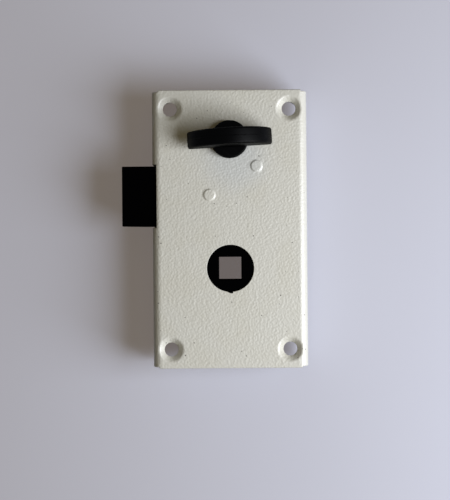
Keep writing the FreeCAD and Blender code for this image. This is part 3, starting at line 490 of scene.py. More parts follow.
def mix_colour(tree, share, first, second):
    """A colour between two. The mix node's colour sockets are found by number."""
    node = add_node(tree, "ShaderNodeMix", {
        MIX_SHARE: share, MIX_FIRST: first, MIX_SECOND: second,
    }, data_type="RGBA")
    return node.outputs[MIX_RESULT]


def new_effect(name, inputs, outputs):
    """A shader node group and the nodes at its two ends."""
    tree = bpy.data.node_groups.new(name, "ShaderNodeTree")
    for label, start in inputs.items():
        socket = tree.interface.new_socket(label, in_out="INPUT", socket_type="NodeSocketFloat")
        socket.default_value = start
    for label in outputs:
        tree.interface.new_socket(label, in_out="OUTPUT", socket_type="NodeSocketFloat")
    given = tree.nodes.new("NodeGroupInput").outputs
    result = tree.nodes.new("NodeGroupOutput").inputs
    place = tree.nodes.new("ShaderNodeTexCoord").outputs["Object"]
    return tree, given, result, place


def use_effect(tree, effect, **values):
    """An effect's outputs in a material, with its inputs' spaces written as underscores."""
    node = tree.nodes.new("ShaderNodeGroup")
    node.node_tree = effect
    for name, entry in values.items():
        node.inputs[name.replace("_", " ")].default_value = entry
    return node.outputs


def make_pebbles():
    """A skin of small soft pebbles, as textured paint and moulded plastic have."""
    tree, given, result, place = new_effect("pebbles", {"Grain": 1200.0, "Fine share": 0.4}, ["Height"])
    finer = 2.1
    swell = noise(tree, place, given["Grain"], detail=0.0)
    fine = noise(tree, place, math_node(tree, "MULTIPLY", given["Grain"], finer), detail=1.0)
    small = math_node(tree, "MULTIPLY", fine, given["Fine share"])
    tree.links.new(math_node(tree, "ADD", swell, small), result["Height"])
    return tree


def make_specks():
    """Scattered small spots: one per cell, in a share of the cells."""
    tree, given, result, place = new_effect(
        "specks", {"Cells": 300.0, "Share": 0.1, "Spot size": 0.12}, ["Spots"])
    least_size, crispness = 0.4, 2.5
    cells = add_node(tree, "ShaderNodeTexVoronoi", {"Vector": place, "Scale": given["Cells"]})
    picked = add_node(tree, "ShaderNodeSeparateColor", {"Color": cells.outputs["Color"]})
    chosen = math_node(tree, "LESS_THAN", picked.outputs["Red"], given["Share"])
    spread = math_node(tree, "ADD", picked.outputs["Green"], least_size)
    size = math_node(tree, "MULTIPLY", given["Spot size"], spread)
    away = math_node(tree, "DIVIDE", cells.outputs["Distance"], size)
    near = math_node(tree, "SUBTRACT", 1.0, away, clamp=True)
    crisp = math_node(tree, "MULTIPLY", near, crispness, clamp=True)
    tree.links.new(math_node(tree, "MULTIPLY", crisp, chosen), result["Spots"])
    return tree


def make_edge_rub():
    """How far an edge is rubbed: strongest on the sharpest edges, and patchy along them."""
    tree, given, result, place = new_effect(
        "edge_rub", {"Width": 0.0003, "Patches": 300.0, "Amount": 0.5}, ["Rubbed"])
    nearly_flat, sharp = 0.98, 0.8
    rounded = add_node(tree, "ShaderNodeBevel", {"Radius": given["Width"]}, samples=4)
    true_normal = add_node(tree, "ShaderNodeNewGeometry").outputs["Normal"]
    turned_away = add_node(tree, "ShaderNodeVectorMath", {
        0: rounded.outputs["Normal"], 1: true_normal,
    }, operation="DOT_PRODUCT")
    edge = ramp(tree, turned_away.outputs["Value"], nearly_flat, sharp)
    patches = ramp(tree, noise(tree, place, given["Patches"], detail=3.0), low=0.42, high=0.62)
    rubbed = math_node(tree, "MULTIPLY", math_node(tree, "MULTIPLY", edge, patches), given["Amount"])
    tree.links.new(rubbed, result["Rubbed"])
    return tree


def make_scuffs():
    """Fine marks of handling, drawn out along a slant."""
    tree, given, result, place = new_effect(
        "scuffs", {"Marks": 90.0, "Stretch": 9.0, "Amount": 0.5}, ["Scuffed"])
    slant = 0.6
    slanted = add_node(tree, "ShaderNodeVectorRotate", {
        "Vector": place, "Angle": slant,
    }, rotation_type="Z_AXIS")
    across = add_node(tree, "ShaderNodeCombineXYZ", {"X": given["Marks"], "Z": given["Marks"]})
    tree.links.new(math_node(tree, "MULTIPLY", given["Marks"], given["Stretch"]), across.inputs["Y"])
    drawn = add_node(tree, "ShaderNodeVectorMath", {
        0: slanted.outputs["Vector"], 1: across.outputs["Vector"],
    }, operation="MULTIPLY")
    streaks = noise(tree, drawn.outputs["Vector"], scale=1.0, detail=4.0, roughness=0.7)
    lines = ramp(tree, streaks, low=0.56, high=0.72)
    tree.links.new(math_node(tree, "MULTIPLY", lines, given["Amount"]), result["Scuffed"])
    return tree


pebbles = make_pebbles()
specks = make_specks()
edge_rub = make_edge_rub()
scuffs = make_scuffs()


def new_finish(name):
    """A material's tree, its shader and the place on the piece."""
    material = bpy.data.materials.new(name)
    material.use_nodes = True
    tree = material.node_tree
    tree.nodes.clear()
    surface = tree.nodes.new("ShaderNodeBsdfPrincipled")
    output = tree.nodes.new("ShaderNodeOutputMaterial")
    tree.links.new(surface.outputs[0], output.inputs["Surface"])
    place = tree.nodes.new("ShaderNodeTexCoord").outputs["Object"]
    return material, tree, surface, place


def bump(tree, height, distance):
    """The surface's way where a height, times a distance in metres, lifts it."""
    return add_node(tree, "ShaderNodeBump", {"Height": height, "Distance": distance}).outputs["Normal"]


# Colours of the finishes
CREAM = (0.677, 0.663, 0.6, 1)
CREAM_DULL = (0.658, 0.64, 0.566, 1)
CREAM_GREYER = (0.613, 0.63, 0.63, 1)
PAINT_SPECK = (0.05, 0.04, 0.032, 1)
BARE_EDGE = (0.30, 0.29, 0.27, 1)
PLASTIC = (0.0002, 0.0002, 0.0003, 1)
PLASTIC_RUBBED = (0.0012, 0.0012, 0.0014, 1)
ZINC = (0.60, 0.60, 0.57, 1)
ZINC_PALE = (0.68, 0.67, 0.60, 1)
ZINC_WORN = (0.42, 0.42, 0.41, 1)
SPRING = (0.42, 0.42, 0.42, 1)
SPRING_OILED = (0.24, 0.22, 0.19, 1)

# The plastics: how pale the dust is, how much duller the skin's hollows are, and the share of the shine
# that is left at a slant
DUST_SHARE = 0.08
SKIN_DULLNESS = 0.08
SLANTING_SHARE = 0.12

# A greyer, slightly bluish patch of paint just below the knob, in metres: its middle, where it starts,
# where it is greyest, and how grey
GREY_PATCH_PLACE = Vector((TURN.x + 2.0, TURN.y - 8.0, FACE)) * MM
GREY_PATCH_REACH = 0.015
GREY_PATCH_CORE = 0.004
GREY_PATCH_SHARE = 0.6


def make_cream_paint():
    """Cream paint with a pebbled grain, a few dark specks, dull edges and a greyer patch by the knob."""
    material, tree, surface, place = new_finish("cream_paint")
    grain = use_effect(tree, pebbles, Grain=1250.0, Fine_share=0.45)["Height"]
    clouds = ramp(tree, noise(tree, place, scale=90.0, detail=3.0), low=0.35, high=0.7)
    tone = mix_colour(tree, clouds, CREAM, CREAM_DULL)
    # A greyer, slightly bluish patch of paint just below the knob
    from_grey_patch = add_node(tree, "ShaderNodeVectorMath", {0: place, 1: GREY_PATCH_PLACE}, operation="DISTANCE")
    grey_patch = ramp(tree, from_grey_patch.outputs["Value"], GREY_PATCH_REACH, GREY_PATCH_CORE, to_high=GREY_PATCH_SHARE)
    tone = mix_colour(tree, grey_patch, tone, CREAM_GREYER)
    rubbed = use_effect(tree, edge_rub, Width=0.00035, Patches=260.0, Amount=0.35)["Rubbed"]
    tone = mix_colour(tree, rubbed, tone, BARE_EDGE)
    spots = use_effect(tree, specks, Cells=420.0, Share=0.75, Spot_size=0.085)["Spots"]
    tone = mix_colour(tree, spots, tone, PAINT_SPECK)
    tree.links.new(tone, surface.inputs["Base Color"])
    dullness = ramp(tree, grain, low=0.4, high=0.9, to_low=0.46, to_high=0.38)
    tree.links.new(dullness, surface.inputs["Roughness"])
    tree.links.new(bump(tree, grain, distance=0.00013), surface.inputs["Normal"])
    surface.inputs["Coat Weight"].default_value = 1.0
    surface.inputs["Coat Roughness"].default_value = 0.35
    return material


def make_plastic(name, shine, roughness):
    """Black moulded plastic with a fine skin that doesn't shine at a slant, dust and rubbed edges."""
    material, tree, surface, place = new_finish(name)
    skin = use_effect(tree, pebbles, Grain=3600.0, Fine_share=0.5)["Height"]
    rubbed = use_effect(tree, edge_rub, Width=0.0003, Patches=500.0, Amount=0.6)["Rubbed"]
    tone = mix_colour(tree, rubbed, PLASTIC, PLASTIC_RUBBED)
    dust = use_effect(tree, specks, Cells=700.0, Share=0.03, Spot_size=0.06)["Spots"]
    thin_dust = math_node(tree, "MULTIPLY", dust, DUST_SHARE)
    tree.links.new(mix_colour(tree, thin_dust, tone, CREAM_DULL), surface.inputs["Base Color"])
    marks = use_effect(tree, scuffs, Marks=160.0, Stretch=7.0, Amount=0.12)["Scuffed"]
    duller = roughness + SKIN_DULLNESS
    dullness = ramp(tree, skin, low=0.1, high=0.8, to_low=roughness, to_high=duller)
    tree.links.new(math_node(tree, "ADD", dullness, marks), surface.inputs["Roughness"])
    tree.links.new(bump(tree, skin, distance=0.000012), surface.inputs["Normal"])
    slant = add_node(tree, "ShaderNodeLayerWeight", {"Blend": 0.5}).outputs["Facing"]
    slanting = shine * SLANTING_SHARE
    slanting_shine = ramp(tree, slant, low=0.38, high=0.82, to_low=shine, to_high=slanting)
    tree.links.new(slanting_shine, surface.inputs["Specular IOR Level"])
    return material


def make_plated_steel():
    """Zinc plated steel: pale and dull patches, fine scratches, darker worn edges."""
    material, tree, surface, place = new_finish("plated_steel")
    patches = ramp(tree, noise(tree, place, scale=220.0, detail=4.0), low=0.35, high=0.68)
    tone = mix_colour(tree, patches, ZINC, ZINC_PALE)
    rubbed = use_effect(tree, edge_rub, Width=0.00025, Patches=400.0, Amount=0.7)["Rubbed"]
    tone = mix_colour(tree, rubbed, tone, ZINC_WORN)
    tree.links.new(tone, surface.inputs["Base Color"])
    surface.inputs["Metallic"].default_value = 1.0
    marks = use_effect(tree, scuffs, Marks=240.0, Stretch=12.0, Amount=0.25)["Scuffed"]
    dullness = ramp(tree, patches, low=0.0, high=1.0, to_low=0.28, to_high=0.42)
    tree.links.new(math_node(tree, "ADD", dullness, marks), surface.inputs["Roughness"])
    skin = use_effect(tree, pebbles, Grain=5200.0, Fine_share=0.5)["Height"]
    tree.links.new(bump(tree, skin, distance=0.000004), surface.inputs["Normal"])
    return material


def make_spring_steel():
    """Dark drawn wire and thin sprung sheet with an oil film."""
    material, tree, surface, place = new_finish("spring_steel")
    film = ramp(tree, noise(tree, place, scale=320.0, detail=3.0), low=0.4, high=0.66)
    tone = mix_colour(tree, film, SPRING, SPRING_OILED)
    tree.links.new(tone, surface.inputs["Base Color"])
    surface.inputs["Metallic"].default_value = 1.0
    dullness = ramp(tree, film, low=0.0, high=1.0, to_low=0.22, to_high=0.36)
    tree.links.new(dullness, surface.inputs["Roughness"])
    skin = use_effect(tree, pebbles, Grain=6000.0, Fine_share=0.6)["Height"]
    tree.links.new(bump(tree, skin, distance=0.000003), surface.inputs["Normal"])
    return material


FINISHES = {
    "cream_paint": make_cream_paint(),
    "black_plastic": make_plastic("black_plastic", shine=0.01, roughness=0.4),
    "handled_plastic": make_plastic("handled_plastic", shine=0.07, roughness=0.33),
    "plated_steel": make_plated_steel(),
    "spring_steel": make_spring_steel(),
}


def finish(item, body, slot, *nodes, look=None):
    """Give a piece its finish and let it stand for the model's nodes."""
    item.data.materials.clear()
    item.data.materials.append(FINISHES[look or slot])
    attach(item, body)
    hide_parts(*nodes)
    return item


# The case: two folded sheets

def lines_of_bends(flat_half, radius):
    """Where the bends' steps lie across the flat sheet, both sides."""
    arc = radius * math.pi / 2
    return [
        side * (flat_half + arc * step / BEND_STEPS)
        for side in (-1, 1)
        for step in range(BEND_STEPS + 1)
    ]


def folded(across, depth, flat_half, radius):
    """Place and height under the outer skin of a sheet whose two sides are bent square."""
    side = math.copysign(1, across)
    over = abs(across) - flat_half
    arc = radius * math.pi / 2
    if over <= 0:
        return across, depth
    if over < arc:
        angle = over / radius
        reach = radius - depth
        return side * (flat_half + reach * math.sin(angle)), radius - reach * math.cos(angle)
    return side * (flat_half + radius - depth), radius + over - arc


def make_cap():
    """The face and its two side walls, with everything pressed and punched in them."""
    flat_half = cap_high.x - CAP_BEND
    lines = lines_of_bends(flat_half, CAP_BEND)
    arc = CAP_BEND * math.pi / 2
    foot = flat_half + arc + FACE - CAP_BEND - cap_low.z
    step = flat_half + RELIEF_START
    end = cap_high.y
    wall_end = end - WALL_RELIEF

    def on_case(across, along, depth):
        x, down = folded(across, depth, flat_half, CAP_BEND)
        return x, along, FACE - down

    outline = rim_of([
        Vector(point) for point in (
            (-foot, -wall_end), (-step, -wall_end), (-step, -end), (step, -end), (step, -wall_end),
            (foot, -wall_end), (foot, wall_end), (step, wall_end), (step, end), (-step, end),
            (-step, wall_end), (-foot, wall_end),
        )
    ], lines)
    slot_top = -flat_half - CAP_BEND * math.radians(SLOT_BEND_ANGLE)
    slot_bottom = -flat_half - arc - (FACE - CAP_BEND - latch_low.z + SLOT_LOWER_GAP)
    slot_low = latch_low.y - SLOT_SIDE_GAP
    slot_high = latch_high.y + SLOT_SIDE_GAP
    slot = rim_of([
        Vector(point) for point in (
            (slot_bottom, slot_low), (slot_bottom, slot_high), (slot_top, slot_high), (slot_top, slot_low),
        )
    ], lines)
    edges = [
        cut_edge(outline, SHEARED_ROUND, UNDERSIDE_ROUND, SHEET),
        cut_edge(slot, PUNCHED_ROUND, UNDERSIDE_ROUND, SHEET),
        cut_edge(nicked_rim(FOLLOWER, BORE_RADIUS), PUNCHED_ROUND, UNDERSIDE_ROUND, SHEET),
        cut_edge(round_rim(TURN, SHANK_RADIUS + RUNNING_GAP), PUNCHED_ROUND, UNDERSIDE_ROUND, SHEET),
    ]
    edges += [pressed(dimple_rim(hole, lines), dimple_profile()) for hole in FIXING_HOLES]
    dents = [round_rim(place, 0, SMALL_ROUND) for place in PIPS]
    pips = [pressed(rim, pip_profile()) for rim in dents]
    tenon_holes = [
        pressed(rim, [(TENON_RADIUS, SHEET), (TENON_RADIUS, SHEET - TENON_DEPTH)]) for rim in dents
    ]
    bm = sheet_mesh(on_case, SHEET, edges, lines, pips, tenon_holes)
    return finish(even_shading(to_object("cap_sheet", bm)), "case", "cream_paint", "case_cap")


def dimple_rim(hole, lines):
    """Where a countersink leaves the flat face. It reaches a little way down the bend."""
    turns = [-2 * math.pi * k / LARGE_ROUND for k in range(LARGE_ROUND)]
    return rim_of([
        hole + Vector((math.cos(turn), math.sin(turn))) * DIMPLE_START for turn in turns
    ], lines)


def dimple_profile():
    """A countersink pressed into the face, down to its lip and back up on the underside."""
    hole = FIXING_RADIUS
    wall = DIMPLE_RADIUS - hole
    bottom = wall + DIMPLE_LIP
    outside = DIMPLE_RADIUS + SHEET * math.sqrt(2) - bottom
    profile = softened([
        (DIMPLE_START, 0, 0),
        (DIMPLE_RADIUS, 0, DIMPLE_ROUND),
        (hole, wall, HOLE_LIP_ROUND),
        (hole, bottom, HOLE_EDGE_ROUND),
        (outside, bottom, PRESSED_ROUND),
        (DIMPLE_UNDERSIDE, bottom + outside - DIMPLE_UNDERSIDE, PRESSED_ROUND),
        (DIMPLE_UNDERSIDE, SHEET, 0),
    ], steps=5, closed=False)
    return [(radius - DIMPLE_START, depth) for radius, depth in profile]


def pip_profile():
    """A low flat-topped bump on the face."""
    return softened([
        (PIP_FOOT, 0, 0),
        (PIP_SIDE, 0, PIP_FOOT_ROUND),
        (PIP_TOP, -PIP_HEIGHT, PIP_TOP_ROUND),
        (PIP_CENTRE, -PIP_HEIGHT, 0),
    ], closed=False)


def make_pan():
    """The sheet on the door, bent up at both ends inside the cap."""
    flat_half = pan_high.y - PAN_BEND
    lines = lines_of_bends(flat_half, PAN_BEND)
    top = flat_half + PAN_BEND * math.pi / 2 + pan_high.z - PAN_BEND
    half = pan_high.x

    def on_pan(along, across, depth):
        y, height = folded(along, depth, flat_half, PAN_BEND)
        return across, y, height

    outline = rim_of(softened([
        (-top, -half, CAP_BEND), (top, -half, CAP_BEND), (top, half, CAP_BEND), (-top, half, CAP_BEND),
    ]), lines)
    edges = [cut_edge(outline, UNDERSIDE_ROUND, UNDERSIDE_ROUND, SHEET)]

    def hole(place, radius):
        edges.append(cut_edge(round_rim(place.yx, radius), PUNCHED_ROUND, UNDERSIDE_ROUND, SHEET))

    for place in FIXING_HOLES:
        hole(place, PAN_HOLE_RADIUS)
    hole(FOLLOWER, BORE_RADIUS)
    for place in RIVETS:
        hole(place, RIVET_RADIUS + RIVET_BORE_GAP)
    for place in BACK_SCREWS:
        edges.append(pressed(round_rim(place.yx, SCREW_SEAT_FOOT), [
            (SCREW_SEAT_SLOPE + SCREW_SEAT_ROUND, 0), (SCREW_SEAT_SLOPE, SCREW_SEAT_EDGE),
            (SCREW_SEAT_EDGE, SHEET - SCREW_SEAT_EDGE), (0, SHEET),
        ]))
    bm = sheet_mesh(on_pan, SHEET, edges, lines)
    return finish(even_shading(to_object("pan_sheet", bm)), "case", "cream_paint", "back_pan")


# The latch, the follower and the thumbturn

def make_latch():
    """The head: flat in front, bevelled behind, with the tail's pocket and the rod's bore."""
    root = -cap_high.x - LATCH_ROOT
    outline = softened([
        (latch_low.x, latch_high.z - LATCH_TIP, LATCH_CORNER),
        (root, latch_low.z, LATCH_CORNER),
        (latch_high.x, latch_low.z, LATCH_EDGE),
        (latch_high.x, latch_high.z, LATCH_EDGE),
        (latch_low.x, latch_high.z, LATCH_CORNER),
    ])

    def on_latch(x, z, depth):
        return x, latch_low.y + depth, z

    width = latch_high.y - latch_low.y
    bm = sheet_mesh(on_latch, width, [cut_edge(rim_of(outline), LATCH_EDGE, LATCH_EDGE, width)])
    head = to_object("latch_nose", bm)
    tail_low, tail_high = corners("latch_tail")
    middle_y = (latch_low.y + latch_high.y) / 2
    pocket = bmesh.new()
    left, right = tail_low.x - RUNNING_GAP, latch_high.x + OVERSHOOT
    lower, upper = middle_y - LATCH_POCKET_HALF, middle_y + LATCH_POCKET_HALF
    prism(pocket, [(left, lower), (right, lower), (right, upper), (left, upper)],
          tail_low.z - RUNNING_GAP, tail_high.z + RUNNING_GAP)
    rod = middle("spring_guide_rod")
    bore = bmesh.new()
    turned(bore, [(ROD_BORE_RADIUS, -ROD_BORE_DEPTH), (ROD_BORE_RADIUS, OVERSHOOT)],
           Vector((0, 0)), HIDDEN_ROUND)
    bore.transform(Matrix.Translation((latch_high.x, rod.y, rod.z)) @ Matrix.Rotation(math.pi / 2, 4, "Y"))
    cut_away(head, to_object("pocket_tool", pocket), to_object("bore_tool", bore))
    return finish(even_shading(head), "latch", "black_plastic", "latch_head")


def make_hub():
    """The follower: two bosses on a wider body, the spindle's square and the arm."""
    tail_low, tail_high = corners("latch_tail")
    drum_low = corners("follower_washer")[1].z + HUB_WASHER_GAP
    drum_high = CAP_UNDER - HUB_TOP_GAP
    bm = bmesh.new()
    turned(bm, softened([
        (0.0, hub_low.z, 0), (BOSS_RADIUS, hub_low.z, HUB_EDGE), (BOSS_RADIUS, drum_low, 0),
        (DRUM_RADIUS, drum_low, HUB_EDGE), (DRUM_RADIUS, drum_high, HUB_EDGE), (BOSS_RADIUS, drum_high, 0),
        (BOSS_RADIUS, hub_high.z, HUB_EDGE), (0.0, hub_high.z, 0),
    ], closed=False), FOLLOWER, LARGE_ROUND)
    hub = to_object("follower_disc", bm)
    swing = math.radians(ARM_SWING)
    reach = LATCH_TRAVEL / 2 / math.sin(swing)
    along = Vector((-math.sin(swing), math.cos(swing)))
    across = Vector((along.y, -along.x))
    tip = FOLLOWER + along * reach
    arm = bmesh.new()
    neck = across * ARM_NECK / 2
    start = FOLLOWER + along * BOSS_RADIUS * ARM_ROOT_SHARE
    leave = math.asin(ARM_NECK / 2 / ARM_TIP_RADIUS)
    turn = math.atan2(along.y, along.x) + math.pi + leave
    sweep = 2 * (math.pi - leave)
    outline = [start - neck, start + neck]
    outline += [
        tip + Vector((math.cos(turn + a), math.sin(turn + a))) * ARM_TIP_RADIUS
        for a in (sweep * k / ARM_TIP_STEPS for k in range(ARM_TIP_STEPS + 1))
    ]
    prism(arm, outline, tail_low.z, tail_high.z)
    add_to(hub, to_object("arm_tool", arm))
    square = bmesh.new()
    levels = (
        (hub_low.z - OVERSHOOT, SQUARE_FLARE + OVERSHOOT), (hub_low.z + SQUARE_FLARE, 0),
        (hub_high.z - SQUARE_FLARE, 0), (hub_high.z + OVERSHOOT, SQUARE_FLARE + OVERSHOOT),
    )
    add_rings(square, [
        [(FOLLOWER.x + x * (SQUARE_HALF + flare), FOLLOWER.y + y * (SQUARE_HALF + flare), z)
         for x, y in SQUARE]
        for z, flare in levels
    ], close_first=True, close_last=True)
    cut_away(hub, to_object("square_tool", square))
    return finish(even_shading(hub), "follower", "black_plastic", "follower_hub")


def add_to(item, other):
    """Join another solid to an object, as one skin."""
    modifier = item.modifiers.new(other.name, "BOOLEAN")
    modifier.operation = "UNION"
    modifier.solver = "EXACT"
    modifier.object = other
    settle(item)
    bpy.data.objects.remove(other)
    return item


def make_knob():
    """The half-moon wing on its disc, with the mould's parting line along the arch."""
    cam_low, cam_high = corners("snib_cam")
    disc_top = FACE + DISC_HEIGHT
    end_top = FACE + WING_END_HEIGHT
    crown = knob_high.z - PARTING_RIDGE
    rise = crown - end_top
    radius = (WING_HALF ** 2 + rise ** 2) / (2 * rise)
    sweep = math.asin(WING_HALF / radius)
    arch = [
        (radius * math.sin(angle), crown - radius + radius * math.cos(angle), 0)
        for angle in (sweep - 2 * sweep * k / WING_STEPS for k in range(1, WING_STEPS))
    ]
    outline = softened([
        (-WING_HALF, disc_top, WING_CORNER), (WING_HALF, disc_top, WING_CORNER),
        (WING_HALF, end_top, WING_CORNER), *arch, (-WING_HALF, end_top, WING_CORNER),
    ])
    middle_y = WING_THICKNESS / 2
    ridge = [
        (0, middle_y - PARTING_HALF_FOOT), (-PARTING_RIDGE, middle_y - PARTING_HALF_TOP),
        (-PARTING_RIDGE, middle_y + PARTING_HALF_TOP), (0, middle_y + PARTING_HALF_FOOT),
    ]

    def on_knob(x, z, depth):
        return x, middle_y - depth, z

    knob = sheet_mesh(on_knob, WING_THICKNESS, [
        cut_edge(rim_of(outline), WING_EDGE, WING_EDGE, WING_THICKNESS, ridge),
    ])
    bore_end = cam_low.z + CAM_SCREW_DEPTH
    turned(knob, softened([
        (0.0, bore_end, 0), (CAM_SCREW_BORE, bore_end, 0), (CAM_SCREW_BORE, cam_high.z, 0),
        (SHANK_RADIUS, cam_high.z, TURNED_EDGE), (SHANK_RADIUS, FACE + DISC_GAP, 0),
        (DISC_RADIUS, FACE + DISC_GAP, TURNED_EDGE), (DISC_RADIUS, disc_top, DISC_EDGE),
        (0.0, disc_top, 0),
    ], closed=False), Vector((0, 0)), LARGE_ROUND)
    length = cam_high.z - cam_low.z
    square = [Vector(corner) * DRIVE_HALF for corner in SQUARE]
    drive = sheet_mesh(lambda x, y, depth: (x, y, cam_high.z - depth), length, [
        cut_edge(rim_of(square), DRIVE_TOP_ROUND, DRIVE_END_ROUND, length),
        cut_edge(round_rim(Vector((0, 0)), CAM_SCREW_BORE, SMALL_ROUND),
                 CAM_SCREW_BORE_TOP_ROUND, CAM_SCREW_BORE_END_ROUND, length),
    ])
    mesh = bpy.data.meshes.new("drive")
    drive.to_mesh(mesh)
    drive.free()
    knob.from_mesh(mesh)
    bpy.data.meshes.remove(mesh)
    turn = Matrix.Rotation(math.radians(REST_ANGLE), 4, "Z")
    knob.transform(Matrix.Translation((TURN.x, TURN.y, 0)) @ turn)
    return finish(even_shading(to_object("half_moon_knob", knob)), "thumbturn", "black_plastic",
                  "thumbturn_knob", look="handled_plastic")


# The small hardware

def fastener_tree(name, recessed):
    """Geometry nodes that put a countersunk fastener at each point of a mesh, its head downwards."""
    tree = bpy.data.node_groups.new(name, "GeometryNodeTree")
    tree.interface.new_socket("Places", in_out="INPUT", socket_type="NodeSocketGeometry")
    sizes = ("Head radius", "Neck radius", "Head height", "Shank radius", "Length", "Recess width",
             "Recess depth")
    for label in sizes:
        socket = tree.interface.new_socket(label, in_out="INPUT", socket_type="NodeSocketFloat")
        socket.default_value = MM
    tree.interface.new_socket("Finish", in_out="INPUT", socket_type="NodeSocketMaterial")
    tree.interface.new_socket("Fasteners", in_out="OUTPUT", socket_type="NodeSocketGeometry")
    given = tree.nodes.new("NodeGroupInput").outputs
    result = tree.nodes.new("NodeGroupOutput").inputs

    def lifted(geometry, height):
        offset = add_node(tree, "ShaderNodeCombineXYZ", {"Z": height}).outputs["Vector"]
        moved = add_node(tree, "GeometryNodeTransform", {"Geometry": geometry, "Translation": offset})
        return moved.outputs["Geometry"]

    head = add_node(tree, "GeometryNodeMeshCone", {
        "Vertices": SMALL_ROUND, "Radius Top": given["Neck radius"], "Radius Bottom": given["Head radius"],
        "Depth": given["Head height"],
    }).outputs["Mesh"]
    shank = add_node(tree, "GeometryNodeMeshCylinder", {
        "Vertices": HIDDEN_ROUND, "Radius": given["Shank radius"], "Depth": given["Length"],
    }).outputs["Mesh"]
    shank = lifted(shank, math_node(tree, "MULTIPLY", given["Length"], 0.5))
    joined = add_node(tree, "GeometryNodeMeshBoolean", operation="UNION", solver="EXACT")
    tree.links.new(head, joined.inputs["Mesh 2"])
    tree.links.new(shank, joined.inputs["Mesh 2"])
    solid = joined.outputs["Mesh"]
    if recessed:
        cross = add_node(tree, "GeometryNodeMeshBoolean", operation="DIFFERENCE", solver="EXACT")
        tree.links.new(solid, cross.inputs["Mesh 1"])
        # The tools' middles lie on the head, so they are twice as deep as the recess
        reach = math_node(tree, "MULTIPLY", given["Head radius"], RECESS_REACH)
        deep = math_node(tree, "MULTIPLY", given["Recess depth"], 2.0)
        for width, length in ((reach, given["Recess width"]), (given["Recess width"], reach)):
            size = add_node(tree, "ShaderNodeCombineXYZ", {"X": width, "Y": length, "Z": deep})
            arm = add_node(tree, "GeometryNodeMeshCube", {"Size": size.outputs["Vector"]})
            tree.links.new(arm.outputs["Mesh"], cross.inputs["Mesh 2"])
        bottom = add_node(tree, "GeometryNodeMeshCone", {
            "Vertices": RECESS_ROUND, "Radius Top": given["Recess width"], "Depth": deep,
            "Radius Bottom": math_node(tree, "MULTIPLY", given["Recess width"], RECESS_TAPER),
        })
        tree.links.new(lifted(bottom.outputs["Mesh"], math_node(tree, "MULTIPLY", deep, -0.5)),
                       cross.inputs["Mesh 2"])
        solid = cross.outputs["Mesh"]
    placed = add_node(tree, "GeometryNodeInstanceOnPoints", {
        "Points": given["Places"], "Instance": solid,
    }).outputs["Instances"]
    real = add_node(tree, "GeometryNodeRealizeInstances", {"Geometry": placed}).outputs["Geometry"]
    painted = add_node(tree, "GeometryNodeSetMaterial", {"Geometry": real, "Material": given["Finish"]})
    tree.links.new(painted.outputs["Geometry"], result["Fasteners"])
    return tree


def make_fasteners(name, tree, places, sizes, body, slot, node):
    """Fasteners at places on the back, from a tree and its sizes in millimetres."""
    points = bpy.data.meshes.new(name)
    points.from_pydata([Vector(place) * MM for place in places], [], [])
    item = new_object(name, points)
    modifier = item.modifiers.new("fasteners", "NODES")
    modifier.node_group = tree
    for socket in tree.interface.items_tree:
        if socket.name in sizes:
            modifier[socket.identifier] = sizes[socket.name] * MM
        if socket.name == "Finish":
            modifier[socket.identifier] = FINISHES[slot]
    settle(item)
    smooth(item.data)
    return finish(item, body, slot, node)


def make_back_screws():
    """The three screws that hold the pan to the pillars."""
    low, high = corners("back_screws")
    return make_fasteners("pan_screws", fastener_tree("recessed_screw", True), [
        (place.x, place.y, low.z) for place in BACK_SCREWS
    ], {
        "Head radius": SCREW_HEAD_RADIUS, "Neck radius": SCREW_RADIUS, "Head height": SCREW_HEAD_HEIGHT,
        "Shank radius": SCREW_RADIUS, "Length": high.z - low.z, "Recess width": SCREW_RECESS_WIDTH,
        "Recess depth": SCREW_RECESS_DEPTH,
    }, "case", "plated_steel", "back_screws")


def make_rivets():
    """The rivets' heads are inside, so the tree's head is the flush end in the pan."""
    low, high = corners("bracket_rivets")
    return make_fasteners("flush_rivets", fastener_tree("flush_rivet", False), [
        (place.x, place.y, low.z) for place in RIVETS
    ], {
        "Head radius": RIVET_END_RADIUS, "Neck radius": RIVET_RADIUS, "Head height": RIVET_END_HEIGHT,
        "Shank radius": RIVET_RADIUS, "Length": high.z - low.z,
    }, "case", "plated_steel", "bracket_rivets")


def make_spring():
    """The model's own spring, as a piece with its own copy of the mesh."""
    item = new_object("coil_spring", frame["nodes"]["latch_spring"].data.copy())
    finish(item, "case", "spring_steel", "latch_spring")
    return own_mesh(item)


def dress_inner_nodes():
    """The model's own shapes that are right as they are get their finish."""
    for subpart in frame["record"]["subparts"]:
        node = frame["nodes"][subpart["node"]]
        if not node.hide_render:
            node.data.materials.clear()
            node.data.materials.append(FINISHES[subpart["material_slot"]])


# The studio

# Lengths in metres, but the floor's in millimetres; angles in degrees, the lamp's power in watts
FLOOR_TONE = (0.425, 0.448, 0.533, 1)
FLOOR_TONE_DARK = (0.412, 0.435, 0.52, 1)
# The table's painted glow, seen only by the camera, that lifts its shadows
FLOOR_GLOW = (0.142, 0.123, 0.118, 1)
FLOOR_HEIGHT = -4.5
FLOOR_HALF = 1500.0
LAMP_TONE = (0.968, 1.0, 1.058)
LAMP_POWER = 2.77
LAMP_AZIMUTH = -18.0
LAMP_HEIGHT_ANGLE = 40.0
LAMP_DISTANCE = 0.45
LAMP_WIDTH = 0.3
LAMP_LENGTH = 0.38
ROOM_TONE = (0.082, 0.061, 0.013, 1)
BACKDROP_TONE = (0.27, 0.275, 0.3, 1)
CAMERA_PLACE = (-0.0019, -0.00752, 0.467)
CAMERA_TURN = -0.45
CAMERA_LENS = 90.3
CAMERA_SENSOR = 36.0


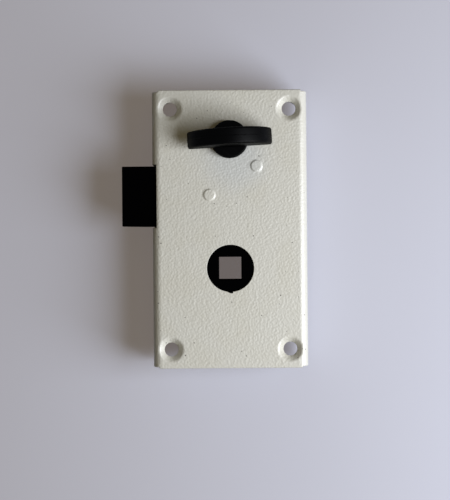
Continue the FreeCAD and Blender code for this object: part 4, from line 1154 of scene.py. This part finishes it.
def make_floor():
    """A plain pale table that light shines under, with a painted glow that only the camera sees, which
    lifts its shadows. It is clear from below.
    """
    material, tree, surface, place = new_finish("pale_table")
    clouds = noise(tree, place, scale=14.0, detail=3.0)
    tone = mix_colour(tree, clouds, FLOOR_TONE, FLOOR_TONE_DARK)
    tree.links.new(tone, surface.inputs["Base Color"])
    surface.inputs["Roughness"].default_value = 0.8
    surface.inputs["Specular IOR Level"].default_value = 0.2
    # Painted glow: the table glows for camera rays alone, which lifts its shadows and the floor seen
    # through the holes
    surface.inputs["Emission Color"].default_value = FLOOR_GLOW
    seen = tree.nodes.new("ShaderNodeLightPath").outputs["Is Camera Ray"]
    tree.links.new(seen, surface.inputs["Emission Strength"])
    clear = tree.nodes.new("ShaderNodeBsdfTransparent")
    below = tree.nodes.new("ShaderNodeNewGeometry").outputs["Backfacing"]
    choice = add_node(tree, "ShaderNodeMixShader", {0: below, 1: surface.outputs[0], 2: clear.outputs[0]})
    output = next(node for node in tree.nodes if node.type == "OUTPUT_MATERIAL")
    tree.links.new(choice.outputs[0], output.inputs["Surface"])
    bm = bmesh.new()
    bm.faces.new([bm.verts.new((x * FLOOR_HALF, y * FLOOR_HALF, FLOOR_HEIGHT)) for x, y in SQUARE])
    floor = to_object("table", bm)
    floor.data.materials.append(material)


def make_light():
    """One large soft lamp from the right, and a dim warm room with a pale backdrop."""
    lamp = bpy.data.lights.new("window", "AREA")
    lamp.shape = "RECTANGLE"
    lamp.size = LAMP_WIDTH
    lamp.size_y = LAMP_LENGTH
    lamp.energy = LAMP_POWER
    lamp.color = LAMP_TONE
    azimuth = math.radians(LAMP_AZIMUTH)
    height = math.radians(LAMP_HEIGHT_ANGLE)
    way = Vector((
        math.cos(height) * math.cos(azimuth), math.cos(height) * math.sin(azimuth), math.sin(height)))
    item = new_object("window", lamp)
    item.location = way * LAMP_DISTANCE
    item.rotation_euler = way.to_track_quat("Z", "Y").to_euler()
    world = bpy.data.worlds.new("room")
    world.use_nodes = True
    tree = world.node_tree
    background = tree.nodes["Background"]
    rays = tree.nodes.new("ShaderNodeLightPath").outputs
    seen = math_node(tree, "MAXIMUM", rays["Is Camera Ray"], rays["Is Transmission Ray"])
    mirrored = math_node(tree, "MAXIMUM", seen, rays["Is Glossy Ray"])
    tree.links.new(mix_colour(tree, mirrored, ROOM_TONE, BACKDROP_TONE), background.inputs["Color"])
    bpy.context.scene.world = world


def make_camera():
    """The camera looks straight down on the face, turned a little."""
    lens = bpy.data.cameras.new("camera")
    lens.lens = CAMERA_LENS
    lens.sensor_width = CAMERA_SENSOR
    item = new_object("camera", lens)
    item.location = CAMERA_PLACE
    item.rotation_euler = (0, 0, math.radians(CAMERA_TURN))
    bpy.context.scene.camera = item
    bpy.context.scene.view_settings.view_transform = "Standard"


make_cap()
make_pan()
make_latch()
make_hub()
make_knob()
make_back_screws()
make_rivets()
make_spring()
dress_inner_nodes()
make_floor()
make_light()
make_camera()
